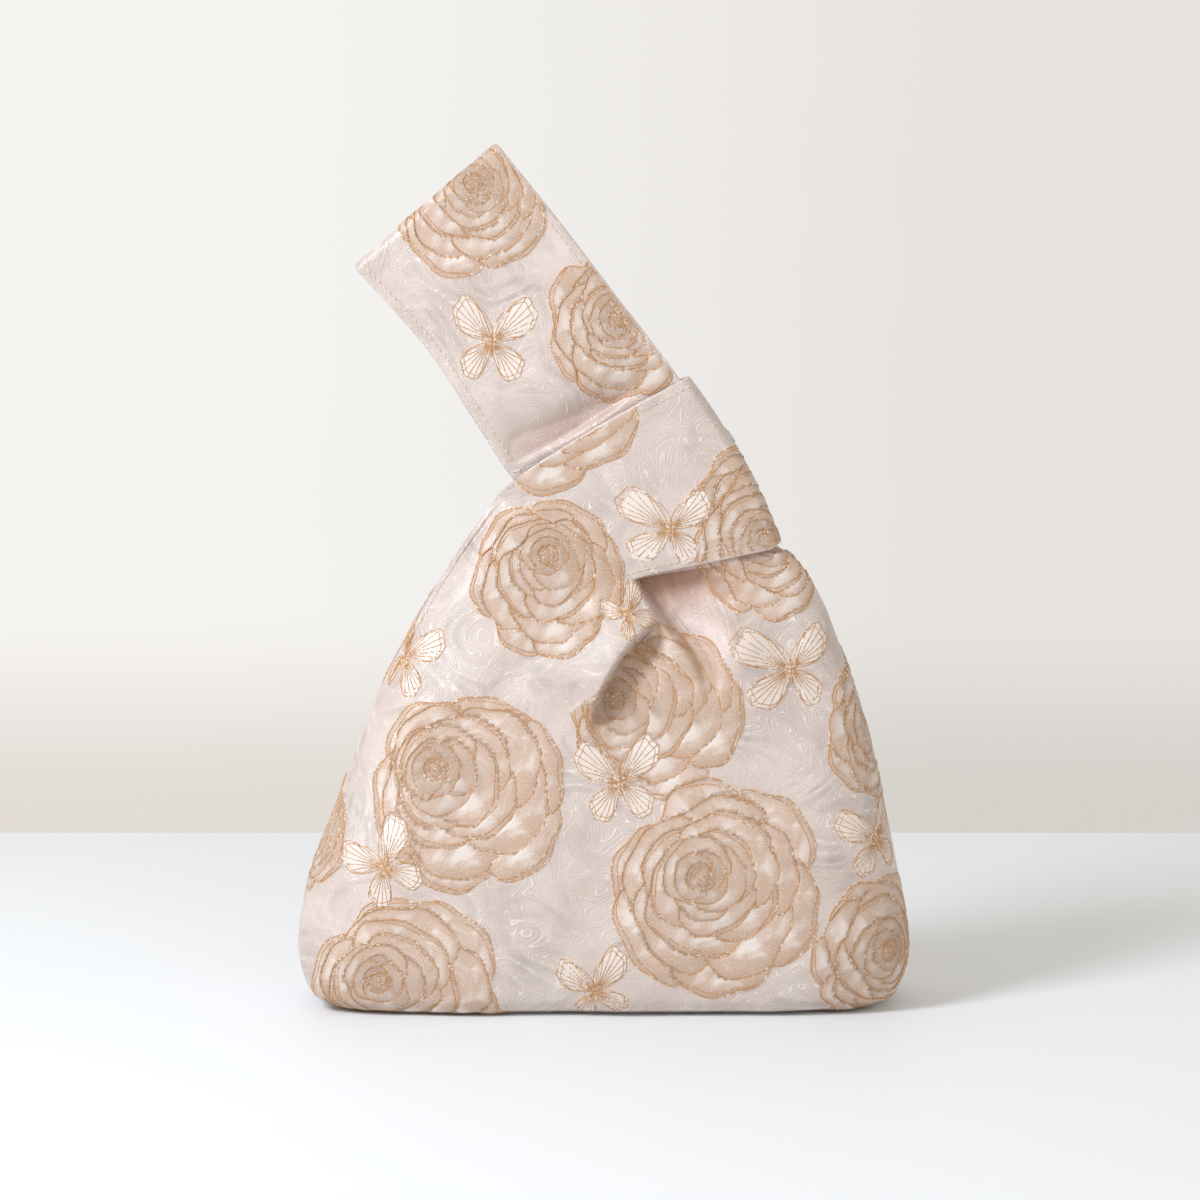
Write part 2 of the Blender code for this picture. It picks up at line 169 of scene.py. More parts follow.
# Soft folds, seen from the front: start, end, half width, and how far each stands out. With two half
# widths, the first is on the left of the way from start to end. Each fades at its ends.
FOLD_EXTENT = (0.0, 0.25, 0.6, 1.0)
BODY_FOLDS = (
    ((-0.0400, 0.1950), (-0.0620, 0.1450), 0.0095, 0.0015),
    ((-0.0020, 0.1660), (-0.0340, 0.1480), 0.0090, -0.0013),
    ((-0.0060, 0.1500), (-0.0340, 0.1150), 0.0110, 0.0017),
    ((0.0040, 0.1610), (-0.0040, 0.1490), 0.0018, -0.0014),
    ((0.0220, 0.1250), (0.0100, 0.0800), 0.0130, -0.0020),
    ((0.0450, 0.1640), (0.0570, 0.1100), 0.0095, 0.0028),
    ((0.0600, 0.1700), (0.0820, 0.1180), 0.0090, -0.0022),
    ((-0.1190, 0.0400), (-0.1170, 0.0230), 0.0022, -0.0016),
    ((-0.0950, 0.0700), (-0.0300, 0.0420), 0.0190, 0.0020),
    ((-0.0700, 0.1250), (-0.0450, 0.0700), 0.0160, -0.0014),
    ((0.0450, 0.0500), (0.1050, 0.0800), 0.0180, 0.0018),
    ((0.0100, 0.0300), (0.0500, 0.0120), 0.0150, -0.0012),
)
# The long strap's folds: the deep one just above the loop, which also gets painted shade, and the swell past
# it.
# They rise fast beyond the loop and fall towards the strap's end and its two edges.
STRAP_FOLDS = (
    ((-0.0470, 0.2125), (0.0250, 0.2480), 0.0085, 0.0030, -0.0046),
    ((-0.0560, 0.2290), (0.0160, 0.2630), 0.0110, 0.0014),
)
STRAP_FOLD_RISE = 8
STRAP_FOLD_FALL = 1.5
STRAP_FOLD_EDGE_FALL = 9
# The most painted shade that the deep fold gets
STRAP_FOLD_SHADE = 0.30
# Slight waves all over the cloth: height, wave length, and how they lean one way and the other
WAVES = ((0.0010, 0.078, 0.4, 0.9), (0.0004, 0.041, -0.7, 0.6))
WAVE_CROSS_LEAN = 0.3
WAVE_START = 1
SOFTNESS_FALL_AT_SEAM = 12
SOFTNESS_LOST_IN_TUCK = 0.7
# The side seam rolls to the front on the left: how far in the roll's groove lies, its half width and depth,
# and the rows that it fades in and out between
SEAM_ROLL_WIDTH = 0.0027
SEAM_ROLL_HALF_WIDTH = 0.0011
SEAM_ROLL_DEPTH = 0.0026
SEAM_ROLL_ROWS = (2.6, 4.2, 7.6, 8.0)

# Grid of the fine cloth: how many columns and rows each part has
LEFT_COLUMNS = 160
STEP_COLUMNS = 9
RIGHT_COLUMNS = 98
BASE_ROWS = 12
BODY_ROWS = 180
SHORT_ROWS = 76
LONG_ROWS = 176
FOLD_ROWS = 8
SHORT_ROW_CROWDING = 1.2
LINING_COARSENESS = 2
LOOP_SAMPLES = 3000
# The long strap lies over the short one in the flat, so from this row on it is an island of its own there,
# set aside while the threads are laid
ISLAND_ROW = 1.2
ISLAND_SHIFT = 1.0
BODY_SHEET, SHORT_SHEET, LONG_SHEET = range(3)
SHEETS = {"body": BODY_SHEET, "trough": BODY_SHEET, "short": SHORT_SHEET, "long": LONG_SHEET}
# Past the lip's end, the line that cuts a rose of the trough rises by this for each length of the lip
LIP_CUT_SLOPE = -0.006

# Edges of the cloth. Cloth that turns round a strap's end is this much shorter than a round turn.
END_TURN_SHORTENING = 1.3
EDGE_LIFT = 0.0024
EDGE_LIFT_REACH = 0.0090
HEM_RADIUS = 0.0009
HEM_RETURN = 0.0012
HEM_TUCK = 0.0005
HEM_STEPS = 6
LINING_SETBACK = 0.0007
LINING_SLACK = 0.0001
NEAR_SEAM = 0.0004
BACK_STRAP_SLIP = (-0.0010, -0.0005)
BACK_STRAP_SLIP_ROWS = (3.2, 7.0)
BACK_STRAP_SLIP_FULLNESS = 0.7

# The woven design stands out from the ground: a petal puffs up steeply from its rim and is flat on top
PUFF_HEIGHT = 0.0010
PUFF_FLATNESS = 3
PUFF_STEEPNESS = 0.6
PUFF_LOST_PER_RING = 0.08
WING_PUFF_HEIGHT = 0.0003
WING_PUFF_RIM = 0.02
RIM_SHADE_WIDTH = 0.0028

# Woven gold thread and sewing thread
OUTLINE_RADIUS = 0.00027
INNER_RADIUS = 0.00020
VEIN_RADIUS = 0.00017
THREAD_STEP = 0.0009
PETAL_SPACING = 0.02
# A woven thread is half sunk: its middle lies this share of its radius above the cloth
THREAD_LIFT = 0.12
THREAD_FULLNESS = 1.0
THREAD_SIDES = 5
STITCH_INSET = 0.0027
STITCH_PITCH = 0.0030
STITCH_LENGTH = 0.0023
STITCH_RADIUS = 0.00030
STITCH_LIFT = 0.0001
STITCH_SIDES = 8
STITCH_RINGS = 6
STRAP_WIDTH = 0.073
# Rows that the topstitching runs from and to, and how many points its line has
LONG_STITCHING = (0.4, LONG_TOP + 0.2, 120)
SHORT_STITCHING = (0.02, 1.3, 70)

# The room: table, wall, light and camera. A lamp has its name, place, target, size, power and colour.
TABLE_CORNERS = ((-6.0, -6.0, -0.0002), (6.0, -6.0, -0.0002), (6.0, 0.42, -0.0002), (-6.0, 0.42, -0.0002))
TABLE_FADE = (0.8, 1.7)
BACKDROP = (238, 236, 232)
WALL_CORNERS = ((-4.0, 2.2, -3.0), (4.0, 2.2, -3.0), (4.0, 2.2, 3.0), (-4.0, 2.2, 3.0))
WALL_FADE_SIDE = (-0.44, 0.44)
WALL_FADE_UP = (-0.257, -0.060)
TABLE_WHITES = ((236, 240, 243), (242, 246, 249))
# The wall glows with painted light: lighter on the left and high up, painted darker to the right and low down
WALL_HIGH_PAINTED_LIGHT = ((247, 245, 242), (231, 228, 224))
WALL_LOW_PAINTED_LIGHT = ((228, 221, 215), (213, 209, 203))
WALL_CLOUDINESS = 0.06
WALL_CLOUD_SCALE = 2.5
TABLE_CLOUD_SCALE = 3.0
BLACK = (0.0, 0.0, 0.0, 1.0)
WORLD_COLOUR = (1.0, 0.93, 0.845, 1)
WORLD_STRENGTH = 0.59
LAMPS = (
    ("soft key", (-0.95, -0.75, 1.05), (0, 0, 0.14), 0.45, 16.0, (0.93, 0.985, 1.08)),
    ("soft fill", (0.8, -1.4, 0.6), (0, 0, 0.14), 1.0, 3.0, (0.95, 0.99, 1.05)),
)
LENS = 120.0
SENSOR_WIDTH = 36.0
CAMERA_TARGET = (-0.0011, 0, 0.1606)
CAMERA_DISTANCE = 1.6
CAMERA_ELEVATION = 5.69

# Colours of the cloth and thread, as a screen shows them
# The ground's two tones, mixed in soft random patches that also stand for the satin's reflection (painted
# sheen)
GROUND_PLAIN_AND_SHEEN = ((204, 187, 178), (216, 202, 194))
SWIRL_COLOUR = (245, 238, 234)
PETAL_RIM_COLOUR = (186, 148, 119)
PETAL_COLOUR = (208, 181, 160)
# Painted highlight: the satin's bright sheen in patches on the petals
PETAL_SHEEN_HIGHLIGHT_COLOUR = (247, 239, 232)
WING_SHADES = ((240, 230, 223), (216, 195, 180))
WEFT_COLOUR = (162, 128, 106)
NAP_COLOUR = (250, 243, 238)
# Painted shade: the deep brown laid into the recess under the short strap and the long strap's fold
PAINTED_SHADE_COLOUR = (162, 92, 40)
# The gold thread's colour and the lighter colour of its turns, which partly stand for light caught on the
# twist (painted highlight)
GOLD_TONE_AND_TWIST_HIGHLIGHT = ((190, 136, 84), (228, 184, 132))
# Painted highlight: bright glints on the gold thread
GOLD_GLINT_COLOUR = (255, 246, 228)
LINING_SHADES = ((214, 184, 164), (228, 203, 186))
SEWING_SHADES = ((206, 178, 154), (236, 220, 206))
# How fine the brocade is: noise scales in the flat of the cloth, and how many swirl lines and hatches
SWIRL_SCALE = 26.0
SWIRL_LINES = 190.0
SWIRL_PATCH_SCALE = 19.0
SWIRL_GAP_SCALE = 190.0
# How large the ground's soft patches of tone and painted sheen are
CLOUD_SCALE = 45.0
WEAVE_SCALE = 2100.0
NAP_SCALE = 1300.0
HATCHES = 300.0
HATCH_GRAIN_SCALE = 300.0
# How large the patches of painted sheen on the petals are
SHEEN_SCALE = 90.0
BROCADE_RELIEF = 0.00025
GOLD_TWIST_PITCH = 0.0013
# How fine the gold thread's painted glints are, and how large the patches where they show
GOLD_GLINT_SCALE = 900.0
GOLD_GLINT_PATCH_SCALE = 90.0
THREAD_RELIEF = 0.00015
LINING_STREAKS = (900.0, 90.0, 1.0)
LINING_RELIEF = 0.0001
SEWING_FIBRE_SCALE = 1500.0

# Roses as seen: sheet, middle x and z, radius, turn, and where the heart lies from the middle, in radii.
# A rose on the sheet "trough" is cut off by the lip of the fold.
FRONT_ROSES = (
    ("long", -0.0526, 0.3230, 0.0340, 0.4, 0.05, 0.10),
    ("long", 0.0060, 0.2700, 0.0300, 1.3, 0.00, 0.10),
    ("short", -0.0190, 0.2430, 0.0400, 2.6, -0.10, 0.20),
    ("short", 0.0600, 0.1960, 0.0275, 0.9, 0.05, 0.10),
    ("body", 0.0650, 0.1830, 0.0300, 2.1, 0.00, 0.10),
    ("trough", 0.0240, 0.1185, 0.0350, 3.7, -0.56, 0.14),
    ("body", -0.0230, 0.1690, 0.0315, 0.2, 0.05, 0.33),
    ("body", -0.1190, 0.0690, 0.0230, 0.5, 0.00, 0.00),
    ("body", -0.0500, 0.0860, 0.0400, 1.1, -0.40, 0.26),
    ("body", -0.0750, 0.0060, 0.0410, 2.8, -0.33, 0.22),
    ("body", 0.0460, 0.0490, 0.0430, 0.6, -0.17, 0.15),
    ("body", 0.1120, 0.0220, 0.0330, 1.9, 0.05, 0.08),
    ("body", 0.1090, 0.1100, 0.0290, 2.4, 0.05, 0.10),
)
# Butterflies as seen: sheet, middle x and z, wing length, turn, and the left wings' width over the right's
FRONT_BUTTERFLIES = (
    ("long", -0.0440, 0.2640, 0.0215, -0.05, 0.90),
    ("short", 0.0268, 0.1900, 0.0190, -0.05, 1.45),
    ("body", -0.0787, 0.1392, 0.0190, -0.35, 0.60),
    ("body", -0.0859, 0.0591, 0.0195, 0.55, 0.95),
    ("body", 0.0065, 0.0920, 0.0205, 0.10, 1.00),
    ("body", 0.0744, 0.1350, 0.0205, 0.05, 1.45),
    ("body", 0.1085, 0.0680, 0.0180, 0.20, 1.20),
    ("body", -0.0030, 0.0110, 0.0185, 0.25, 0.85),
    ("body", 0.0100, 0.1570, 0.0125, 0.60, 0.80),
)
BACK_ROSES = (
    ("long", -0.0500, 0.3100, 0.0330, 2.2, 0.10, 0.05),
    ("long", 0.0030, 0.2620, 0.0290, 0.1, 0.00, 0.15),
    ("short", -0.0080, 0.2140, 0.0270, 1.0, 0.10, 0.10),
    ("short", 0.0560, 0.2040, 0.0270, 2.9, -0.10, 0.10),
    ("body", -0.0640, 0.1320, 0.0350, 0.8, 0.20, 0.15),
    ("body", 0.0200, 0.1400, 0.0370, 2.0, -0.20, 0.20),
    ("body", 0.0930, 0.1080, 0.0350, 1.2, -0.10, 0.10),
    ("body", -0.0200, 0.0560, 0.0420, 2.5, 0.25, 0.10),
    ("body", -0.1060, 0.0440, 0.0340, 0.3, 0.10, 0.05),
    ("body", 0.0700, 0.0260, 0.0400, 3.1, -0.15, 0.20),
)
BACK_BUTTERFLIES = (
    ("long", -0.0230, 0.2850, 0.0200, 0.2, 0.80),
    ("short", 0.0260, 0.1880, 0.0190, 0.4, 0.90),
    ("body", -0.0160, 0.1700, 0.0180, -0.5, 0.75),
    ("body", -0.0640, 0.0850, 0.0180, 0.5, 0.85),
    ("body", 0.0480, 0.0880, 0.0200, -0.3, 0.80),
    ("body", -0.0700, 0.0060, 0.0190, 0.2, 0.90),
    ("body", 0.1080, 0.0640, 0.0180, -0.4, 0.75),
)
# Rings of a rose from the outside in, in radii: how far out the petals' middles lie, their half length
# and half width, and their number
ROSE_RINGS = (
    (0.58, 0.41, 0.50, 6),
    (0.42, 0.41, 0.50, 5),
    (0.28, 0.38, 0.47, 4),
    (0.18, 0.33, 0.39, 3),
    (0.11, 0.27, 0.31, 3),
    (0.07, 0.18, 0.21, 3),
    (0.03, 0.11, 0.12, 2),
)
# A petal's curled rim: how far the line dips in from the rim, and how far round the tip it reaches
CURLED_RIM_DIP = 0.13
CURLED_RIM_REACH = 1.0
CURLED_RINGS = (0, 2, 3)
# Waves round a petal's rim: their number, height, and how far the petal's own turn shifts them. They calm
# down from ring to ring.
PETAL_WAVES = ((3, 0.055, 1.0), (7, 0.030, 2.7))
WAVE_LOST_PER_RING = 0.1
# How far each ring turns on the one outside it, and how far petals stray from an even ring
RING_TURN = 0.9
RING_STRAY = 0.3
PETAL_STRAY = 0.22
PETAL_TILT = 0.3
PETAL_SIZES = (0.90, 1.08)
# A ring's middle follows the heart as far as the room beside its petals lets it
HEART_PULL = 1.15
HEART_MARGIN = 0.12
# The heart's spiral
HEART_TURNS = 2.6
HEART_REACH = 0.13
HEART_START = 0.10
HEART_WOBBLE = 0.12
HEART_WOBBLES = 2.3
HEART_FLATNESS = 0.8
# The two outer rings cover the whole rose, and the three outer ones have the thicker outline. Nothing of a
# rose reaches further from its middle than this many radii.
COVERING_RINGS = 2
BOLD_RINGS = 3
ROSE_REACH = 1.3
# Wings on one side of a butterfly: direction, length, half angle, and how far its tip leans up
WINGS = ((0.66, 1.00, 0.56, 0.22), (-0.80, 0.80, 0.60, -0.16))
WING_SQUARENESS = 3
WING_FULLNESS = 0.60
WING_SCALLOPS = (11, 0.025)
# Border lines of a wing: share of its reach, share of its angle, and the thread's radius
WING_BORDERS = ((1.0, 1.0, INNER_RADIUS), (0.90, 0.86, VEIN_RADIUS))
VEINS = (-0.78, -0.52, -0.26, 0.0, 0.26, 0.52, 0.78)
VEIN_SPAN = (0.10, 0.98)
VEIN_ROOT = 0.55
VEIN_BEND = 0.6
BUTTERFLY_BODY = (-0.26, 0.20)
BODY_THREAD_RADIUS = OUTLINE_RADIUS * 1.5
FEELER_SPREAD = 0.20
FEELER_LENGTH = 0.36
FEELER_BEND = 1.4
# In wing lengths: how far wings are woven from a butterfly's middle, and how near it lines may be hidden
BUTTERFLY_REACH = 1.15
BUTTERFLY_NEARNESS = 1.2
# A place on a sheet is looked for among the points this near to the nearest one
PLACE_REACH = 0.0015


def through(values, place):
    """The smooth curve through values, read at places counted from the first value."""
    v = np.asarray(values, float)
    v = np.concatenate([[2 * v[0] - v[1]], v, [2 * v[-1] - v[-2]]])
    k = np.clip(np.floor(place).astype(int), 0, len(v) - 4)
    f = place - k
    a, b, c, d = v[k], v[k + 1], v[k + 2], v[k + 3]
    return b + f / 2 * (c - a + f * (2 * a - 5 * b + 4 * c - d + f * (3 * (b - c) + d - a)))


def ease(x):
    """A smooth step from 0 to 1 as x goes from 0 to 1."""
    x = np.clip(x, 0.0, 1.0)
    return x * x * (3 - 2 * x)


def mix(a, b, share):
    """The value at a share of the way from a to b."""
    return a + (b - a) * share


def bezier(start, control, end, t):
    """The place at t on a curve that one control point bends."""
    start, control, end = np.array(start), np.array(control), np.array(end)
    return (1 - t) ** 2 * start + 2 * t * (1 - t) * control + t * t * end


def extent(along, places):
    """A fade in between the first two places and out between the last two."""
    start, full, low, end = places
    return ease((along - start) / (full - start)) * ease((end - along) / (end - low))


def beside(x, z, start, end):
    """Where places lie by a line: their share of its length, and their distance on its left."""
    axis = np.subtract(end, start)
    length = np.hypot(*axis)
    along = ((x - start[0]) * axis[0] + (z - start[1]) * axis[1]) / length**2
    return along, ((z - start[1]) * axis[0] - (x - start[0]) * axis[1]) / length


def knot_relief(x, z):
    """How far the cloth stands out under the neckline: over the lip's edge it drops into the trough."""
    along, below = beside(x, z, LIP_START, LIP_END)
    below = below + LIP_BOW * 4 * along * (1 - along)
    lip = LIP_HEIGHT * extent(along, LIP_EXTENT)
    dropped = ease(below / LIP_DROP_WIDTH)
    above = lip * np.exp(-((np.minimum(below, 0) / LIP_SPREAD) ** 2))
    trough = TROUGH_DEPTH * (1 - ease(below / TROUGH_WIDTH)) * extent(along, TROUGH_EXTENT)
    return above * (1 - dropped) - trough * dropped


def fold_profile(x, z, start, end, left_width, right_width):
    """How much of a fold's height places have, from 0 to 1, by how far they lie from its line."""
    along, aside = beside(x, z, start, end)
    half_width = np.where(aside > 0, left_width, right_width)
    return extent(along, FOLD_EXTENT) * np.exp(-((aside / half_width) ** 2))


def soft_relief(x, z, folds):
    """The soft folds and slight waves of the cloth."""
    total = x * 0
    for height, length, lean_x, lean_z in WAVES:
        phase = 2 * math.pi / length
        one_way = np.sin((x + lean_x * z) * phase)
        other_way = np.sin((z * lean_z - WAVE_CROSS_LEAN * x) * phase + WAVE_START)
        total = total + height * one_way * other_way
    for start, end, *widths, height in folds:
        total = total + height * fold_profile(x, z, start, end, widths[0], widths[-1])
    return total


def half_loop(left, right, half_depth, squareness):
    """The front half of a level section: x, distance in front of the middle plane, and length so far."""
    angle = np.linspace(0, math.pi, LOOP_SAMPLES)
    power = 2 / squareness
    aside = -np.sign(np.cos(angle)) * np.abs(np.cos(angle)) ** power
    x = (left + right) / 2 + (right - left) / 2 * aside
    front = half_depth * np.sin(angle).clip(0) ** power
    return x, front, np.concatenate([[0], np.cumsum(np.hypot(np.diff(x), np.diff(front)))])


def tuck(share):
    """The half depth with which the right half enters the short strap's loop, from the step to the seam."""
    wedge = np.maximum(share - SEAM_WEDGE_START, 0) / (1 - SEAM_WEDGE_START)
    return (through(LONG_GAP_IN_BODY, share * (len(LONG_GAP_IN_BODY) - 1)) + WALL) * (1 - wedge)


def lifted(x, y, z):
    """Points of a row, with the rim of the base rounded up from the table."""
    return np.column_stack([x, y, z + EDGE_LIFT * (1 - ease(z / EDGE_LIFT_REACH))])


def body_line(part, share, row):
    """A row of the front's left, step or right part: its points, and their places in the flat cloth."""
    tables = (ROW_LEFT_X, ROW_LEFT_Z, ROW_RIDGE_X, ROW_RIDGE_Z, ROW_RIGHT_X, ROW_RIGHT_Z)
    tables += (ROW_HALF_DEPTH, ROW_SQUARENESS)
    sizes = [float(through(table, np.array(row))) for table in tables]
    left_x, left_z, ridge_x, ridge_z, right_x, right_z, half_depth, squareness = sizes
    step_end = ridge_x + STEP_WIDTH
    x_of, front_of, length_of = half_loop(left_x, right_x, half_depth, squareness)
    span = {"left": (left_x, ridge_x), "step": (ridge_x, step_end), "right": (step_end, right_x)}[part]
    start, end, ridge = np.interp([*span, ridge_x], x_of, length_of)
    here = mix(start, end, share)
    x, front = np.interp(here, length_of, x_of), np.interp(here, length_of, front_of)
    flat_x = ridge_x + here - ridge
    faded = ease(np.array((TOP_ROW - row) / RELIEF_FADE_ROWS))
    if part == "left":
        z = mix(ridge_z, left_z, (ridge_x - x) / (ridge_x - left_x))
        soft = soft_relief(x, z, BODY_FOLDS) * ease(share * SOFTNESS_FALL_AT_SEAM)
        roll = np.exp(-(((x - left_x - SEAM_ROLL_WIDTH) / SEAM_ROLL_HALF_WIDTH) ** 2))
        soft = soft - SEAM_ROLL_DEPTH * roll * extent(np.array(float(row)), SEAM_ROLL_ROWS)
        front = front + knot_relief(x, z) * faded * ease(share / RELIEF_FADE_AT_SEAM) + soft
        return lifted(x, -front * (share > 0), z), np.column_stack([flat_x, z])
    z = mix(ridge_z, right_z, (x - ridge_x) / (right_x - ridge_x))
    beyond = share if part == "right" else share * 0
    start_row = mix(TUCK_START_AT_STEP, TUCK_START_AT_SEAM, beyond**TUCK_START_BEND)
    tucked = ease((row - start_row) / (TOP_ROW - start_row))
    relief = knot_relief(x, z) * faded
    z = z - STEP_DROP * tucked * (ease(share) if part == "step" else (1 - share) ** 2)
    soft = soft_relief(x, z, BODY_FOLDS)
    if part == "step":
        inner = mix(front, tuck(np.array(0.0)), tucked) + relief * (1 - tucked)
        front = mix(front + relief, inner, ease(share * STEP_SHARPNESS)) + soft
        return lifted(x, -front, z), np.column_stack([flat_x, z])
    front = mix(front, tuck(share), tucked) + relief * (1 - tucked) * (1 - ease(share / RELIEF_END_PAST_STEP))
    front = front + soft * ease((1 - share) * SOFTNESS_FALL_AT_SEAM) * (1 - tucked * SOFTNESS_LOST_IN_TUCK)
    return lifted(x, -front * (share < 1), z), np.column_stack([flat_x, z])


def base_line(part, share, row):
    """A row of the base, from the middle seam at row 0 to the rim at row 1."""
    rim, flat = body_line(part, share, 0.0)
    on_rim = (ROW_LEFT_X[0], ROW_RIDGE_X[0], ROW_RIGHT_X[0])
    seam_start, ridge, seam_end = (BASE_SEAM_SHARE * x for x in on_rim)
    step_end = ridge + STEP_WIDTH
    start, end = {"left": (seam_start, ridge), "step": (ridge, step_end), "right": (step_end, seam_end)}[part]
    x = mix(mix(start, end, share), rim[:, 0], row)
    from_rim = (1 - row) * ROW_HALF_DEPTH[0]
    z = x * 0 + EDGE_LIFT * (1 - ease(np.array(from_rim / EDGE_LIFT_REACH))) ** 2
    return np.column_stack([x, rim[:, 1] * row, z]), flat - [0, from_rim]


def short_fold_line(share):
    """The short strap's end, seen from the front, and the direction that it points in."""
    top, foot = np.array(SHORT_FOLD_TOP), np.array(SHORT_FOLD_FOOT)
    edge = (foot - top) / np.linalg.norm(foot - top)
    out = np.array([-edge[1], edge[0]])
    s = np.asarray(share)[..., None]
    return mix(top, foot, s) + out * SHORT_FOLD_BOW * 4 * s * (1 - s), out


def short_strap_line(share, row):
    """A row of the short strap's front: row 0 to 1 along it, and on to 2 round the fold."""
    seam, flat = body_line("left", share, TOP_ROW)
    drift = flat - seam[:, [0, 2]]
    end, out = short_fold_line(share)
    if row > 1:
        turn = (row - 1) * math.pi / 2
        place = end - out * SHORT_FOLD_REACH * (1 - math.sin(turn))
        y = -SHORT_HALF_AT_FOLD * math.cos(turn) if row < 2 else 0.0
        flat = end - out * SHORT_FOLD_REACH + out * SHORT_HALF_AT_FOLD * turn / END_TURN_SHORTENING + drift
        return np.column_stack([place[:, 0], place[:, 0] * 0 + y, place[:, 1]]), flat
    arm_start, neck_start = (ROW_LEFT_X[-1], ROW_LEFT_Z[-1]), (ROW_RIDGE_X[-1], ROW_RIDGE_Z[-1])
    fold_start = [short_fold_line(s)[0] - out * SHORT_FOLD_REACH for s in (0.0, 1.0)]
    arm = bezier(arm_start, SHORT_ARM_CONTROL, fold_start[0], row)
    neck = bezier(neck_start, SHORT_NECK_CONTROL, fold_start[1], row)
    s = share[:, None]
    at_start = seam[:, [0, 2]] - mix(np.array(arm_start), np.array(neck_start), s)
    at_end = end - out * SHORT_FOLD_REACH - mix(fold_start[0], fold_start[1], s)
    place = mix(arm, neck, s) + at_start * (1 - ease(row)) + at_end * row
    bulge = math.sin(math.pi * row**SHORT_BULGE_SKEW) ** SHORT_BULGE_FULLNESS
    half = mix(SHORT_HALF_AT_FOLD, SHORT_HALF_IN_MIDDLE, bulge * mix(SHORT_FLATNESS_AT_ARM, 1, share))
    half = half + np.maximum(soft_relief(place[:, 0], place[:, 1], BODY_FOLDS), 0) * (1 - row)
    opened = 1 - (1 - row) ** SHORT_OPENING_BEND
    return np.column_stack([place[:, 0], mix(seam[:, 1], -half, opened), place[:, 1]]), place + drift


def long_gap(share, row):
    """Half of the space inside the long strap."""
    sections = (LONG_GAP_IN_BODY, LONG_GAP_IN_LOOP, LONG_GAP_AT_LOOP_END, LONG_GAP_PAST_LOOP)
    sections += (LONG_GAP_AT_FOLD,)
    gaps = np.array([through(section, share * (len(section) - 1)) for section in sections])
    place = np.interp(row, LONG_GAP_ROWS, range(len(LONG_GAP_ROWS)))
    return np.array([through(column, np.array(place)) for column in gaps.T])


def long_strap_line(share, row):
    """A row of the long strap's front: row 0 to LONG_TOP along it, and one more round the fold."""
    seam, flat = body_line("right", share, TOP_ROW)
    drift = flat - seam[:, [0, 2]]
    at = np.array(min(row, LONG_TOP), float)
    neck = np.array([through(LONG_NECK_X, at), through(LONG_NECK_Z, at)])
    arm = np.array([through(LONG_ARM_X, at), through(LONG_ARM_Z, at)])
    place = mix(neck, arm, share[:, None])
    half = long_gap(share, float(at)) + WALL
    if row > LONG_TOP:
        turn = (row - LONG_TOP) * math.pi / 2
        out = np.array([neck[1] - arm[1], arm[0] - neck[0]]) / np.linalg.norm(arm - neck)
        reached = place + out * LONG_FOLD_REACH * math.sin(turn)
        y = -half * math.cos(turn) if row < LONG_TOP + 1 else half * 0
        flat = place + out * half[:, None] * turn / END_TURN_SHORTENING + drift
        return np.column_stack([reached[:, 0], y, reached[:, 1]]), flat
    joined = 1 - ease(np.array(row))
    start = np.array([[LONG_NECK_X[0], LONG_NECK_Z[0]], [LONG_ARM_X[0], LONG_ARM_Z[0]]])
    place = place + (seam[:, [0, 2]] - mix(start[0], start[1], share[:, None])) * joined
    y = mix(-half, seam[:, 1], max(1 - row / LONG_OPEN_AT_ROW, 0) ** LONG_OPENING_BEND)
    clear = ease(np.array((row - LONG_GAP_ROWS[2]) * STRAP_FOLD_RISE))
    clear = clear * ease(np.array((LONG_TOP - row) * STRAP_FOLD_FALL))
    inside = ease(share * STRAP_FOLD_EDGE_FALL) * ease((1 - share) * STRAP_FOLD_EDGE_FALL)
    fold = soft_relief(place[:, 0], place[:, 1], STRAP_FOLDS) * clear * inside
    nearest = np.maximum(y, -WALL - SEAM_GAP / 2)
    y = np.minimum(y - fold, nearest)
    return np.column_stack([place[:, 0], y, place[:, 1]]), place + drift


